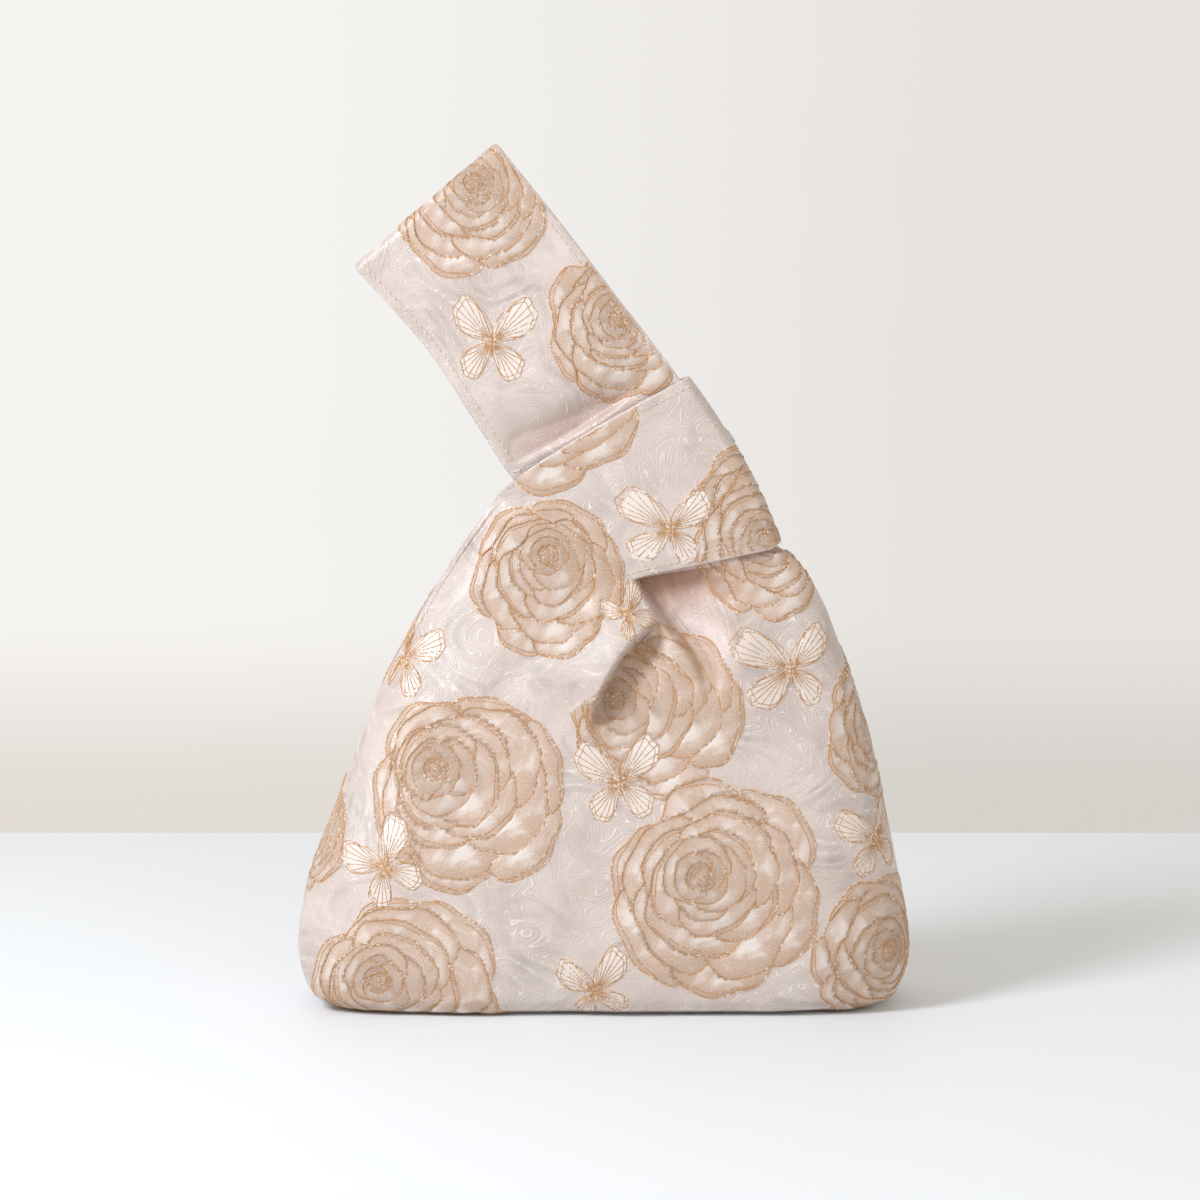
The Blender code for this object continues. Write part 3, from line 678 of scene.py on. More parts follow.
def front_grid(coarseness):
    """The front panel's face: points, places in the flat cloth, quads, the island that each quad is on, and
    the sheet and the row up the long strap of each point."""
    left, step, right = (max(2, n // coarseness) for n in (LEFT_COLUMNS, STEP_COLUMNS, RIGHT_COLUMNS))
    base, body, short, long, fold = (
        max(3, n // coarseness) for n in (BASE_ROWS, BODY_ROWS, SHORT_ROWS, LONG_ROWS, FOLD_ROWS)
    )
    parts = (("left", np.linspace(0, 1, left + 1)), ("step", np.linspace(0, 1, step + 1)[1:]))
    parts += (("right", np.linspace(0, 1, right + 1)[1:]),)
    base_rows, body_rows = np.linspace(0, 1, base + 1)[:-1], np.linspace(0, TOP_ROW, body + 1)
    lines = [[base_line(part, share, row) for part, share in parts] for row in base_rows]
    lines += [[body_line(part, share, row) for part, share in parts] for row in body_rows]
    points = [np.concatenate([np.concatenate([bit[k] for bit in line]) for line in lines]) for k in (0, 1)]
    columns = left + step + right + 1
    index = np.arange(len(points[0])).reshape(-1, columns)
    grids, islands = [index], [0]
    sheets, places = [np.full(index.size, BODY_SHEET)], [np.zeros(index.size)]
    fold_rows = np.linspace(0, 1, fold + 1)[1:]
    short_rows = np.concatenate([np.linspace(0, 1, short + 1)[1:] ** SHORT_ROW_CROWDING, 1 + fold_rows])
    long_rows = np.concatenate([np.linspace(0, LONG_TOP, long + 1)[1:], LONG_TOP + fold_rows])
    straps = (
        (SHORT_SHEET, short_strap_line, np.linspace(0, 1, left + 1), short_rows, index[-1, : left + 1]),
        (LONG_SHEET, long_strap_line, np.linspace(0, 1, right + 1), long_rows, index[-1, left + step :]),
    )
    for sheet, line_of, share, rows, first in straps:
        made = [line_of(share, row) for row in rows]
        sheets.append(np.full(len(rows) * len(share), sheet))
        places.append(np.repeat(rows, len(share)) * (sheet == LONG_SHEET))
        start = len(points[0])
        points = [np.concatenate([points[k], *[line[k] for line in made]]) for k in (0, 1)]
        grid = np.arange(start, len(points[0])).reshape(-1, len(share))
        grids.append(np.concatenate([first[None], grid]))
        islands.append(0)
    far = int(np.searchsorted(long_rows, ISLAND_ROW)) + 1
    grids.append(grids[2][far:])
    grids[2] = grids[2][: far + 1]
    islands.append(1)
    quads = [np.stack([g[:-1, :-1], g[:-1, 1:], g[1:, 1:], g[1:, :-1]], -1).reshape(-1, 4) for g in grids]
    island = np.concatenate([np.full(len(q), i) for q, i in zip(quads, islands)])
    return points[0], points[1], np.concatenate(quads), island, np.concatenate(sheets), np.concatenate(places)


def point_normals(points, quads):
    """Unit normals at the points, weighted by the area of the faces round them."""
    a, b, c, d = (points[quads[:, k]] for k in range(4))
    face = np.cross(c - a, d - b)
    total = np.zeros_like(points)
    for k in range(4):
        np.add.at(total, quads[:, k], face)
    return total / np.maximum(np.linalg.norm(total, axis=1), 1e-12)[:, None]


def turned(points, turn):
    """Flat points turned anticlockwise by an angle."""
    c, s = math.cos(turn), math.sin(turn)
    return points @ np.array([[c, s], [-s, c]])


class Petal:
    """A rounded petal in its rose's own units, wavy along its rim."""

    def __init__(self, ring, middle, direction, length, width, seed):
        self.ring, self.middle, self.direction = ring, np.array(middle), direction
        self.length, self.width, self.seed = length, width, seed

    def rim(self, angle):
        """How far the rim reaches at an angle, where 1 is the plain ellipse."""
        waves = sum(height * np.sin(n * angle + self.seed * shift) for n, height, shift in PETAL_WAVES)
        return 1 + waves * (1 - WAVE_LOST_PER_RING * self.ring)

    def depth(self, spots):
        """For spots in the rose's units: 0 at the petal's middle and 1 at its rim."""
        own = turned(spots - self.middle, -self.direction) / [self.length, self.width]
        return np.hypot(own[:, 0], own[:, 1]) / self.rim(np.arctan2(own[:, 1], own[:, 0]))

    def line(self, dip, reach):
        """Points along the rim to both sides of the petal's tip, dipping in from it in between."""
        angle = np.linspace(-reach, reach, max(10, int(2 * reach * self.length / PETAL_SPACING)))
        share = self.rim(angle) * (1 - dip * (1 - (angle / reach) ** 2))
        own = np.column_stack([np.cos(angle), np.sin(angle)]) * share[:, None]
        return self.middle + turned(own * [self.length, self.width], self.direction)


def rose_petals(turn, heart):
    """A rose's petals from the outermost in, closing round its heart."""
    chance = np.random.default_rng(int(turn * 1000) + 7)
    petals = []
    for ring, (offset, length, width, count) in enumerate(ROSE_RINGS):
        start = turn + ring * RING_TURN + chance.uniform(-RING_STRAY, RING_STRAY)
        ring_middle = np.array(heart) * min(1.0, HEART_PULL * (1 - offset - length + HEART_MARGIN))
        for k in range(count):
            direction = start + k * 2 * math.pi / count + chance.uniform(-PETAL_STRAY, PETAL_STRAY)
            size = chance.uniform(*PETAL_SIZES)
            middle = ring_middle + offset * np.array([math.cos(direction), math.sin(direction)])
            tilt = direction + chance.uniform(-PETAL_TILT, PETAL_TILT)
            petals.append(Petal(ring, middle, tilt, length * size, width * size, chance.uniform(0, 6)))
    return petals


def heart_line(turn, heart):
    """The spiral in the heart of a rose, in the rose's units."""
    t = np.linspace(0, 1, 60)
    angle = turn + t * HEART_TURNS * 2 * math.pi
    wobble = 1 + HEART_WOBBLE * np.sin(angle * HEART_WOBBLES + turn)
    radius = HEART_REACH * mix(HEART_START, 1, t) * wobble
    spiral = np.column_stack([np.cos(angle), np.sin(angle) * HEART_FLATNESS]) * radius[:, None]
    return np.array(heart) + spiral


def wing_rim(t, lean):
    """How far a wing reaches at t, from -1 at its lower edge to 1 at its upper one."""
    count, height = WING_SCALLOPS
    outline = np.maximum(1 - np.abs(t) ** WING_SQUARENESS, 0) ** WING_FULLNESS
    return outline * (1 + height * np.cos(count * t + 1)) * (1 + lean * t)


def in_wings(spots, left_width):
    """Whether each spot, in a butterfly's own units, is in a wing, and its share of the wing's reach."""
    sides = np.column_stack([np.where(spots[:, 0] < 0, -spots[:, 0] / left_width, spots[:, 0]), spots[:, 1]])
    inside, share = np.zeros(len(spots), bool), np.zeros(len(spots))
    for direction, length, half_angle, lean in WINGS:
        t = (np.arctan2(sides[:, 1], sides[:, 0]) - direction) / half_angle
        here = np.hypot(sides[:, 0], sides[:, 1]) / np.maximum(length * wing_rim(t, lean), 1e-6)
        mask = (np.abs(t) < 1) & (here < 1)
        inside |= mask
        share[mask] = here[mask]
    return inside, share


def butterfly_lines(left_width):
    """A butterfly's threads in its own units, each with its thread's radius in metres."""
    lines = []
    for direction, length, half_angle, lean in WINGS:
        for side in (1, -left_width):
            t = np.sin(np.linspace(-math.pi / 2, math.pi / 2, 60))
            for scale, reach, radius in WING_BORDERS:
                kept = t[np.abs(t) <= reach]
                angle = direction + kept * half_angle
                rim = length * wing_rim(kept, lean) * scale
                lines.append((np.column_stack([np.cos(angle) * side, np.sin(angle)]) * rim[:, None], radius))
            for vein in VEINS:
                ray = np.linspace(*VEIN_SPAN, 12)
                angle = direction + vein * half_angle * mix(VEIN_ROOT, 1, ray**VEIN_BEND)
                far = length * wing_rim(np.array(vein), lean) * ray
                ray_line = np.column_stack([np.cos(angle) * side, np.sin(angle)]) * far[:, None]
                lines.append((ray_line, VEIN_RADIUS))
    body = np.column_stack([np.zeros(8), np.linspace(*BUTTERFLY_BODY, 8)])
    lines.append((body, BODY_THREAD_RADIUS))
    t = np.linspace(0, 1, 12)
    for side in (1, -left_width):
        aside = side * FEELER_SPREAD * t**FEELER_BEND
        lines.append((np.column_stack([aside, BUTTERFLY_BODY[1] + FEELER_LENGTH * t]), VEIN_RADIUS))
    return lines


class Cloth:
    """One outer panel: its fine grid, the woven design in the flat of the cloth, and the threads on it."""

    def __init__(self, side, roses, butterflies):
        points, flat, quads, island, sheet, place = front_grid(1)
        points[:, 1] = np.minimum(points[:, 1], -SEAM_GAP / 2)
        if side > 0:
            points = slipped(points, place)
        self.normals = point_normals(points, quads)
        self.points, self.flat, self.quads, self.island, self.sheet = points, flat, quads, island, sheet
        shift = np.zeros(len(points))
        shift[np.unique(quads[island == 1])] = ISLAND_SHIFT
        shift[np.unique(quads[island == 0])] = 0
        self.flat_of_point = flat + np.column_stack([shift, shift * 0])
        along, below = beside(points[:, 0], points[:, 2], LIP_START, LIP_END)
        self.above_lip = (sheet == BODY_SHEET) & (below < LIP_CUT_SLOPE * np.maximum(along - 1, 0))
        # Painted shade: darker and browner in the recess under the short strap and in the long strap's fold
        # above the loop
        self.painted_shade = recess_shade(points[:, 0], points[:, 2]) * (sheet == BODY_SHEET)
        self.painted_shade += strap_shade(points[:, 0], points[:, 2]) * (sheet == LONG_SHEET)
        self.roses = []
        for on, x, z, radius, turn, *heart in roses:
            rose = self.place(on, x, z), radius, rose_petals(turn, heart), heart_line(turn, heart)
            self.roses.append((*rose, on == "trough"))
        self.butterflies = [(self.place(on, x, z), *shape) for on, x, z, *shape in butterflies]
        self.weave()
        self.points = self.points + self.normals * self.height[:, None]
        self.points[:, 1] = np.minimum(self.points[:, 1], -SEAM_GAP / 2)
        self.points[:, 2] = np.maximum(self.points[:, 2], 0)
        self.outlines = self.laid(self.rose_lines())
        self.veins = self.laid(self.butterfly_threads())
        if side > 0:
            self.mirror()

    def place(self, sheet, x, z):
        """The place in the flat cloth that shows at x and z on a sheet, seen from outside."""
        on_sheet = np.flatnonzero(self.sheet == SHEETS[sheet])
        gap = np.hypot(self.points[on_sheet, 0] - x, self.points[on_sheet, 2] - z)
        near = on_sheet[gap < gap.min() + PLACE_REACH]
        best = near[np.argmin(self.points[near, 1])]
        return self.flat_of_point[best] + [x - self.points[best, 0], z - self.points[best, 2]]

    def weave(self):
        """Works out at every point which petal or wing it is in, how near its rim and how far it puffs."""
        count = len(self.points)
        self.petal, self.shade, self.wing, self.height = (np.zeros(count) for _ in range(4))
        self.motif = self.flat_of_point.copy()
        for middle, radius, petals, _, cut in self.roses:
            away = (self.flat_of_point - middle) / radius
            near = np.flatnonzero((np.hypot(*away.T) < ROSE_REACH) & ~(cut & self.above_lip))
            spots = away[near]
            for petal in petals:
                depth = petal.depth(spots)
                hit = near[depth < 1]
                depth = depth[depth < 1]
                from_rim = (1 - depth) * min(petal.length, petal.width) * radius
                self.petal[hit] = 1
                self.shade[hit] = np.exp(-from_rim / RIM_SHADE_WIDTH)
                puff = (1 - depth**PUFF_FLATNESS) ** PUFF_STEEPNESS
                self.height[hit] = PUFF_HEIGHT * puff * (1 - PUFF_LOST_PER_RING * petal.ring)
                self.motif[hit] = (self.flat_of_point[hit] - middle) - petal.middle * radius
        for middle, reach, turn, left_width in self.butterflies:
            away = turned((self.flat_of_point - middle) / reach, -turn)
            near = np.flatnonzero(np.hypot(*away.T) < BUTTERFLY_REACH)
            inside, share = in_wings(away[near], left_width)
            hit = near[inside]
            self.petal[hit] = 0
            self.wing[hit] = 1
            self.shade[hit] = share[inside]
            over = np.clip(share[inside], WING_PUFF_RIM, 1 - WING_PUFF_RIM)
            self.height[hit] = WING_PUFF_HEIGHT * np.sin(math.pi * over) ** 0.5
            self.motif[hit] = away[near][inside] * reach

    def covered(self, spots, first_rose, first_butterfly):
        """Whether later roses or butterflies lie over each spot in the flat cloth."""
        hidden = np.zeros(len(spots), bool)
        for middle, radius, petals, _, _ in self.roses[first_rose:]:
            away = (spots - middle) / radius
            if np.hypot(*away.T).min() > ROSE_REACH:
                continue
            for petal in petals:
                if petal.ring < COVERING_RINGS:
                    hidden |= petal.depth(away) < 1
        for middle, reach, turn, left_width in self.butterflies[first_butterfly:]:
            away = turned((spots - middle) / reach, -turn)
            if np.hypot(*away.T).min() < BUTTERFLY_NEARNESS:
                hidden |= in_wings(away, left_width)[0]
        return hidden

    def rose_lines(self):
        """The gold lines of the roses in the flat cloth: points, which of them show, whether the lip cuts
        them, and the radius."""
        lines = []
        for number, (middle, radius, petals, heart, cut) in enumerate(self.roses):
            for k, petal in enumerate(petals):
                outline = OUTLINE_RADIUS if petal.ring < BOLD_RINGS else INNER_RADIUS
                kinds = [(petal.line(0, math.pi), outline)]
                if petal.ring in CURLED_RINGS:
                    kinds.append((petal.line(CURLED_RIM_DIP, CURLED_RIM_REACH), INNER_RADIUS))
                for line, thread in kinds:
                    shown = np.ones(len(line), bool)
                    for later in petals[k + 1 :]:
                        shown &= later.depth(line) > 1
                    place = middle + line * radius
                    lines.append((place, shown & ~self.covered(place, number + 1, 0), cut, thread))
            place = middle + heart * radius
            lines.append((place, ~self.covered(place, number + 1, 0), cut, INNER_RADIUS))
        return lines

    def butterfly_threads(self):
        """The gold lines of the butterflies in the flat cloth."""
        lines = []
        for number, (middle, reach, turn, left_width) in enumerate(self.butterflies):
            for line, thread in butterfly_lines(left_width):
                place = middle + turned(line, turn) * reach
                lines.append((place, ~self.covered(place, len(self.roses), number + 1), False, thread))
        return lines

    def laid(self, flat_lines):
        """Lays lines of the flat cloth on the panel, cut where the cloth ends."""
        corners = self.flat[self.quads] + [ISLAND_SHIFT, 0.0] * self.island[:, None, None]
        triangles = np.concatenate([self.quads[:, [0, 1, 2]], self.quads[:, [0, 2, 3]]])
        flats = np.concatenate([corners[:, [0, 1, 2]], corners[:, [0, 2, 3]]])
        verts = np.concatenate([flats.reshape(-1, 2), np.zeros((flats.shape[0] * 3, 1))], 1)
        faces = np.arange(len(verts)).reshape(-1, 3)
        tree = BVHTree.FromPolygons(verts.tolist(), faces.tolist())
        runs = []
        down = Vector((0, 0, -1))
        for line, shown, cut, radius in flat_lines:
            length = np.concatenate([[0], np.cumsum(np.hypot(*np.diff(line, axis=0).T))])
            even = np.linspace(0, length[-1], max(2, int(round(length[-1] / THREAD_STEP)) + 1))
            spots = np.column_stack([np.interp(even, length, line[:, k]) for k in (0, 1)])
            seen = np.interp(even, length, shown.astype(float)) > 0.5
            run = []
            for (u, v), ok in zip(spots, seen):
                found = tree.ray_cast(Vector((u, v, 1)), down)[2] if ok else None
                if found is not None and cut and self.above_lip[triangles[found]].all():
                    found = None
                if found is None:
                    if len(run) > 2:
                        runs.append((np.array(run), radius))
                    run = []
                    continue
                (ax, ay), (bx, by), (cx, cy) = flats[found]
                whole = (bx - ax) * (cy - ay) - (cx - ax) * (by - ay)
                wb = ((u - ax) * (cy - ay) - (cx - ax) * (v - ay)) / whole
                wc = ((bx - ax) * (v - ay) - (u - ax) * (by - ay)) / whole
                ids = triangles[found]
                weights = np.array([1 - wb - wc, wb, wc])
                normal = weights @ self.normals[ids]
                lift = normal / np.linalg.norm(normal) * radius * THREAD_LIFT
                run.append(weights @ self.points[ids] + lift)
            if len(run) > 2:
                runs.append((np.array(run), radius))
        return runs

    def mirror(self):
        """Turns the front panel's cloth into the back panel's."""
        flip = np.array([1.0, -1.0, 1.0])
        self.points, self.normals = self.points * flip, self.normals * flip
        self.quads = self.quads[:, ::-1]
        self.outlines = [(run * flip, radius) for run, radius in self.outlines]
        self.veins = [(run * flip, radius) for run, radius in self.veins]


def recess_shade(x, z):
    """How much painted shade a place gets in the recess under the short strap's lower edge, by how deep it
    lies there, from 0 to 1.
    """
    along, below = beside(x, z, RECESS_CORNER, SHORT_FOLD_FOOT)
    _, right = beside(x, z, RECESS_CORNER, RECESS_RIDGE_END)
    past_ridge = ease(right / STEP_WIDTH * 2)
    return extent(along, RECESS_EXTENT) * np.exp(np.minimum(below, 0) / RECESS_REACH) * past_ridge


def strap_shade(x, z):
    """How much painted shade a place gets in the long strap's deep fold above the loop, from 0 to 1."""
    start, end, above, below, _ = STRAP_FOLDS[0]
    return fold_profile(x, z, start, end, above, below) * STRAP_FOLD_SHADE


def slipped(points, place):
    """The back of the long strap, slipped a little past the front between the loop and the fold."""
    first, last = BACK_STRAP_SLIP_ROWS
    share = np.sin(math.pi * np.clip((place - first) / (last - first), 0, 1)) ** BACK_STRAP_SLIP_FULLNESS
    return points + share[:, None] * [BACK_STRAP_SLIP[0], 0, BACK_STRAP_SLIP[1]]


def free_rim(points, normals, quads):
    """The open edges of a panel: their edges, their points, the way out of the cloth at each, and
    which of the points aren't in a seam."""
    sides = np.concatenate([quads[:, [0, 1]], quads[:, [1, 2]], quads[:, [2, 3]], quads[:, [3, 0]]])
    key = np.sort(sides, 1)
    _, first, uses = np.unique(key[:, 0] * len(points) + key[:, 1], return_index=True, return_counts=True)
    edges = sides[first[uses == 1]]
    along = np.zeros_like(points)
    for k in (0, 1):
        np.add.at(along, edges[:, k], points[edges[:, 1]] - points[edges[:, 0]])
    rim = np.unique(edges)
    along = along[rim] / np.maximum(np.linalg.norm(along[rim], axis=1), 1e-9)[:, None]
    out = np.cross(along, normals[rim])
    out /= np.maximum(np.linalg.norm(out, axis=1), 1e-9)[:, None]
    return edges, rim, out, np.abs(points[rim, 1]) > NEAR_SEAM


def hem(points, normals, quads):
    """Rolls the free edges in: more points and quads, and for each new point the one it comes from."""
    edges, rim, out, free = free_rim(points, normals, quads)
    normal, reach = normals[rim], free[:, None] * 1.0
    more = []
    for turn in np.linspace(0, math.pi, HEM_STEPS + 1)[1:]:
        more.append(points[rim] + (out * math.sin(turn) * reach - normal * (1 - math.cos(turn))) * HEM_RADIUS)
    more.append(more[-1] + (normal * HEM_TUCK - out * HEM_RETURN) * reach)
    rings, count = [rim], len(points)
    for ring in more:
        ring[:, 1] = np.where(points[rim, 1] < 0, np.minimum(ring[:, 1], -SEAM_GAP / 2), ring[:, 1])
        ring[:, 1] = np.where(points[rim, 1] > 0, np.maximum(ring[:, 1], SEAM_GAP / 2), ring[:, 1])
        rings.append(np.arange(count, count + len(rim)))
        count += len(rim)
    place = np.full(len(points), -1)
    place[rim] = np.arange(len(rim))
    a, b = place[edges[:, 0]], place[edges[:, 1]]
    new = [np.stack([near[b], near[a], far[a], far[b]], -1) for near, far in zip(rings, rings[1:])]
    return np.concatenate([points, *more]), np.concatenate([quads, *new]), np.tile(rim, len(more))


def mesh_object(name, points, faces):
    """A smooth mesh, as an object in the scene."""
    mesh = bpy.data.meshes.new(name)
    mesh.from_pydata(points.tolist(), [], faces.tolist())
    mesh.shade_smooth()
    made = bpy.data.objects.new(name, mesh)
    bpy.context.scene.collection.objects.link(made)
    return made


def put_attribute(mesh, name, kind, values):
    """Gives each point of the mesh its value of a named attribute."""
    layer = mesh.attributes.new(name, kind, "POINT")
    layer.data.foreach_set("value" if kind == "FLOAT" else "vector", np.asarray(values, np.float32).ravel())


def put_flat_places(mesh, flat):
    """Gives the mesh a UV map of its places in the flat cloth."""
    corner_points = np.empty(len(mesh.loops), int)
    mesh.loops.foreach_get("vertex_index", corner_points)
    layer = mesh.uv_layers.new(name="flat cloth")
    layer.data.foreach_set("uv", flat[corner_points].astype(np.float32).ravel())


def srgb(shown):
    """A colour as a screen shows it, 0 to 255, as Blender's linear numbers."""
    parts = [c / 255 / 12.92 if c <= 10 else ((c / 255 + 0.055) / 1.055) ** 2.4 for c in shown]
    return (*parts, 1.0)


class Link:
    """A shader socket that Python's operators work on: each adds its Math node."""

    def __init__(self, finish, socket):
        self.finish, self.socket = finish, socket

    def math(self, operation, *values):
        """A Math node on values or links."""
        return self.finish.node("Math", {"operation": operation}, dict(enumerate(values)))

    def __add__(self, other):
        return self.math("ADD", self, other)

    def __sub__(self, other):
        return self.math("SUBTRACT", self, other)

    def __rsub__(self, other):
        return self.math("SUBTRACT", other, self)

    def __mul__(self, other):
        return self.math("MULTIPLY", self, other)

    __radd__ = __add__
    __rmul__ = __mul__

    def sine(self):
        """Its sine, for what repeats."""
        return self.math("SINE", self)

    def between(self, low, high):
        """0 at low, 1 at high and a smooth step between."""
        sockets = {"Value": self, "From Min": low, "From Max": high}
        return self.finish.node("MapRange", {"interpolation_type": "SMOOTHSTEP"}, sockets)


class Finish:
    """A material being made."""

    def __init__(self, name, **constants):
        self.material = bpy.data.materials.new(name)
        self.material.use_nodes = True
        self.tree = self.material.node_tree
        self.surface = self.tree.nodes["Principled BSDF"]
        for key, value in constants.items():
            self.surface.inputs[key.replace("_", " ")].default_value = value

    def put(self, socket, value):
        """Links a value to the socket, or sets it where it is a constant."""
        if isinstance(value, Link):
            self.tree.links.new(value.socket, socket)
        else:
            socket.default_value = value

    def node(self, kind, settings=None, sockets=None, output=0):
        """A shader node with its settings and sockets; what comes back is one of its outputs."""
        made = self.tree.nodes.new("ShaderNode" + kind)
        for key, value in (settings or {}).items():
            setattr(made, key, value)
        for key, value in (sockets or {}).items():
            self.put(made.inputs[key], value)
        return Link(self, made.outputs[output])

    def attribute(self, name, output="Fac"):
        """A named attribute of the mesh."""
        return self.node("Attribute", {"attribute_name": name}, output=output)

    def mixed(self, share, a, b):
        """The colour at a share of the way from a to b."""
        return self.node("Mix", {"data_type": "RGBA"}, {0: share, 6: a, 7: b}, output=2)

    def noise(self, place, scale, detail=2.0, distortion=0.0):
        """Noise in a place, from 0 to 1."""
        sockets = {"Vector": place, "Scale": scale, "Detail": detail, "Distortion": distortion}
        return self.node("TexNoise", None, sockets)

    def bump(self, height, depth, strength=1.0):
        """Fine relief that only turns the surface's normal."""
        sockets = {"Height": height, "Distance": depth, "Strength": strength}
        self.put(self.surface.inputs["Normal"], self.node("Bump", None, sockets))

    def finish(self, **links):
        """Links what changes over the surface, and gives the material."""
        for key, value in links.items():
            self.put(self.surface.inputs[key.replace("_", " ")], value)
        return self.material


def brocade():
    """Jacquard brocade: a satin ground with fine swirls, puffed petals and pale wings, with painted sheen in
    patches on the ground and petals, and painted shade in the knot's recess and the strap's fold.
    """
    cloth = Finish("rose brocade", Sheen_Weight=0.12, Sheen_Roughness=0.35, Specular_IOR_Level=1.0)
    flat = cloth.node("UVMap", {"uv_map": "flat cloth"})
    petal, wing, shade = cloth.attribute("petal"), cloth.attribute("wing"), cloth.attribute("shade")
    motif = cloth.attribute("motif", "Vector")
    swirls = cloth.noise(flat, SWIRL_SCALE, 1.2, 2.4)
    where = cloth.noise(flat, SWIRL_PATCH_SCALE, 1.0).between(0.36, 0.60)
    broken = cloth.noise(flat, SWIRL_GAP_SCALE, 1.0).between(0.36, 0.54)
    swirl = (swirls * SWIRL_LINES).sine().between(0.40, 1.0)
    swirl = swirl * (0.30 + where * 0.70) * (0.35 + broken * 0.65)
    # Soft patches of random tone that also stand for the satin's reflection: partly painted sheen
    ground_sheen_patches = cloth.noise(flat, CLOUD_SCALE, 2.0)
    weave = cloth.noise(flat, WEAVE_SCALE, 1.0)
    nap = cloth.noise(flat, NAP_SCALE, 1.5)
    along = cloth.node("SeparateXYZ", None, {0: motif})
    aside = cloth.node("SeparateXYZ", None, {0: motif}, output=1)
    angle = cloth.node("Math", {"operation": "ARCTAN2"}, {0: aside, 1: along})
    grain = cloth.noise(motif, HATCH_GRAIN_SCALE, 2.0)
    hatch = (angle * HATCHES + grain * 9.0).sine().between(-0.7, 0.9)
    # Painted sheen: bright patches on the petals, lost near their rims
    petal_sheen_highlight = cloth.noise(motif, SHEEN_SCALE, 2.0, 0.8).between(0.42, 0.66)
    ground = cloth.mixed(ground_sheen_patches.between(0.3, 0.7), *map(srgb, GROUND_PLAIN_AND_SHEEN))
    ground = cloth.mixed(swirl * 0.62, ground, srgb(SWIRL_COLOUR))
    satin = cloth.mixed(petal_sheen_highlight * (1 - shade * 0.8), srgb(PETAL_COLOUR), srgb(PETAL_SHEEN_HIGHLIGHT_COLOUR))
    satin = cloth.mixed(shade * 0.72, satin, srgb(PETAL_RIM_COLOUR))
    satin = cloth.mixed(hatch * 0.20, satin, srgb(PETAL_RIM_COLOUR))
    pale = cloth.mixed(hatch * 0.25, *map(srgb, WING_SHADES))
    colour = cloth.mixed(wing, cloth.mixed(petal, ground, satin), pale)
    colour = cloth.mixed(weave.between(0.42, 0.70) * 0.20, colour, srgb(WEFT_COLOUR))
    colour = cloth.mixed(nap.between(0.50, 0.68) * (0.10 + petal * 0.10), colour, srgb(NAP_COLOUR))
    # Painted shade: the recess and the strap's fold are darkened towards a deep brown
    colour = cloth.mixed(cloth.attribute("painted_shade"), colour, srgb(PAINTED_SHADE_COLOUR))
    roughness = 0.42 - petal * 0.12 + hatch * petal * 0.06 - wing * 0.04
    height = (1 - petal) * (1 - wing) * swirl + hatch * petal * 0.15 + hatch * wing * 0.15
    cloth.bump(height + weave * 0.4 + nap * 0.4, BROCADE_RELIEF)
    return cloth.finish(Base_Color=colour, Roughness=roughness)


def gold_thread():
    """Gold thread laid with a twist, with painted glints of light on it."""
    thread = Finish("gold thread", Metallic=0.15, Specular_IOR_Level=0.6)
    along = thread.attribute("along")
    around = thread.attribute("around")
    twist = (along * (2 * math.pi / GOLD_TWIST_PITCH) + around * (2 * math.pi)).sine().between(-0.6, 0.9)
    place = thread.node("TexCoord", output="Object")
    # Painted glints: bright specks of light in patches along the thread
    glint = thread.noise(place, GOLD_GLINT_SCALE, 1.0).between(0.54, 0.62)
    glint_patches = thread.noise(place, GOLD_GLINT_PATCH_SCALE, 1.0).between(0.35, 0.65)
    # Along the twist the colour turns lighter on each turn: the thread's gold, with partly painted highlight
    colour = thread.mixed(twist * 0.8, *map(srgb, GOLD_TONE_AND_TWIST_HIGHLIGHT))
    colour = thread.mixed(glint * (0.20 + glint_patches * 0.70), colour, srgb(GOLD_GLINT_COLOUR))
    thread.bump(twist, THREAD_RELIEF, 0.6)
    return thread.finish(Base_Color=colour, Roughness=0.45 - glint * 0.15)


def plain_satin():
    """The lining's plain satin."""
    satin = Finish("lining satin", Sheen_Weight=0.2, Specular_IOR_Level=0.5)
    flat = satin.node("UVMap", {"uv_map": "flat cloth"})
    stretched = satin.node("Mapping", None, {"Vector": flat, "Scale": LINING_STREAKS})
    streak = satin.noise(stretched, 1.0, 2.0)
    colour = satin.mixed(streak.between(0.3, 0.7), *map(srgb, LINING_SHADES))
    satin.bump(streak, LINING_RELIEF, 0.5)
    return satin.finish(Base_Color=colour, Roughness=0.38 + streak * 0.1)


def sewing_thread():
    """Cream sewing thread."""
    thread = Finish("cream sewing thread", Sheen_Weight=0.3)
    place = thread.node("TexCoord", output="Object")
    fibre = thread.noise(place, SEWING_FIBRE_SCALE, 2.0)
    colour = thread.mixed(fibre.between(0.3, 0.7), *map(srgb, SEWING_SHADES))
    thread.bump(fibre, THREAD_RELIEF, 0.6)
    return thread.finish(Base_Color=colour, Roughness=0.5 + fibre * 0.1)


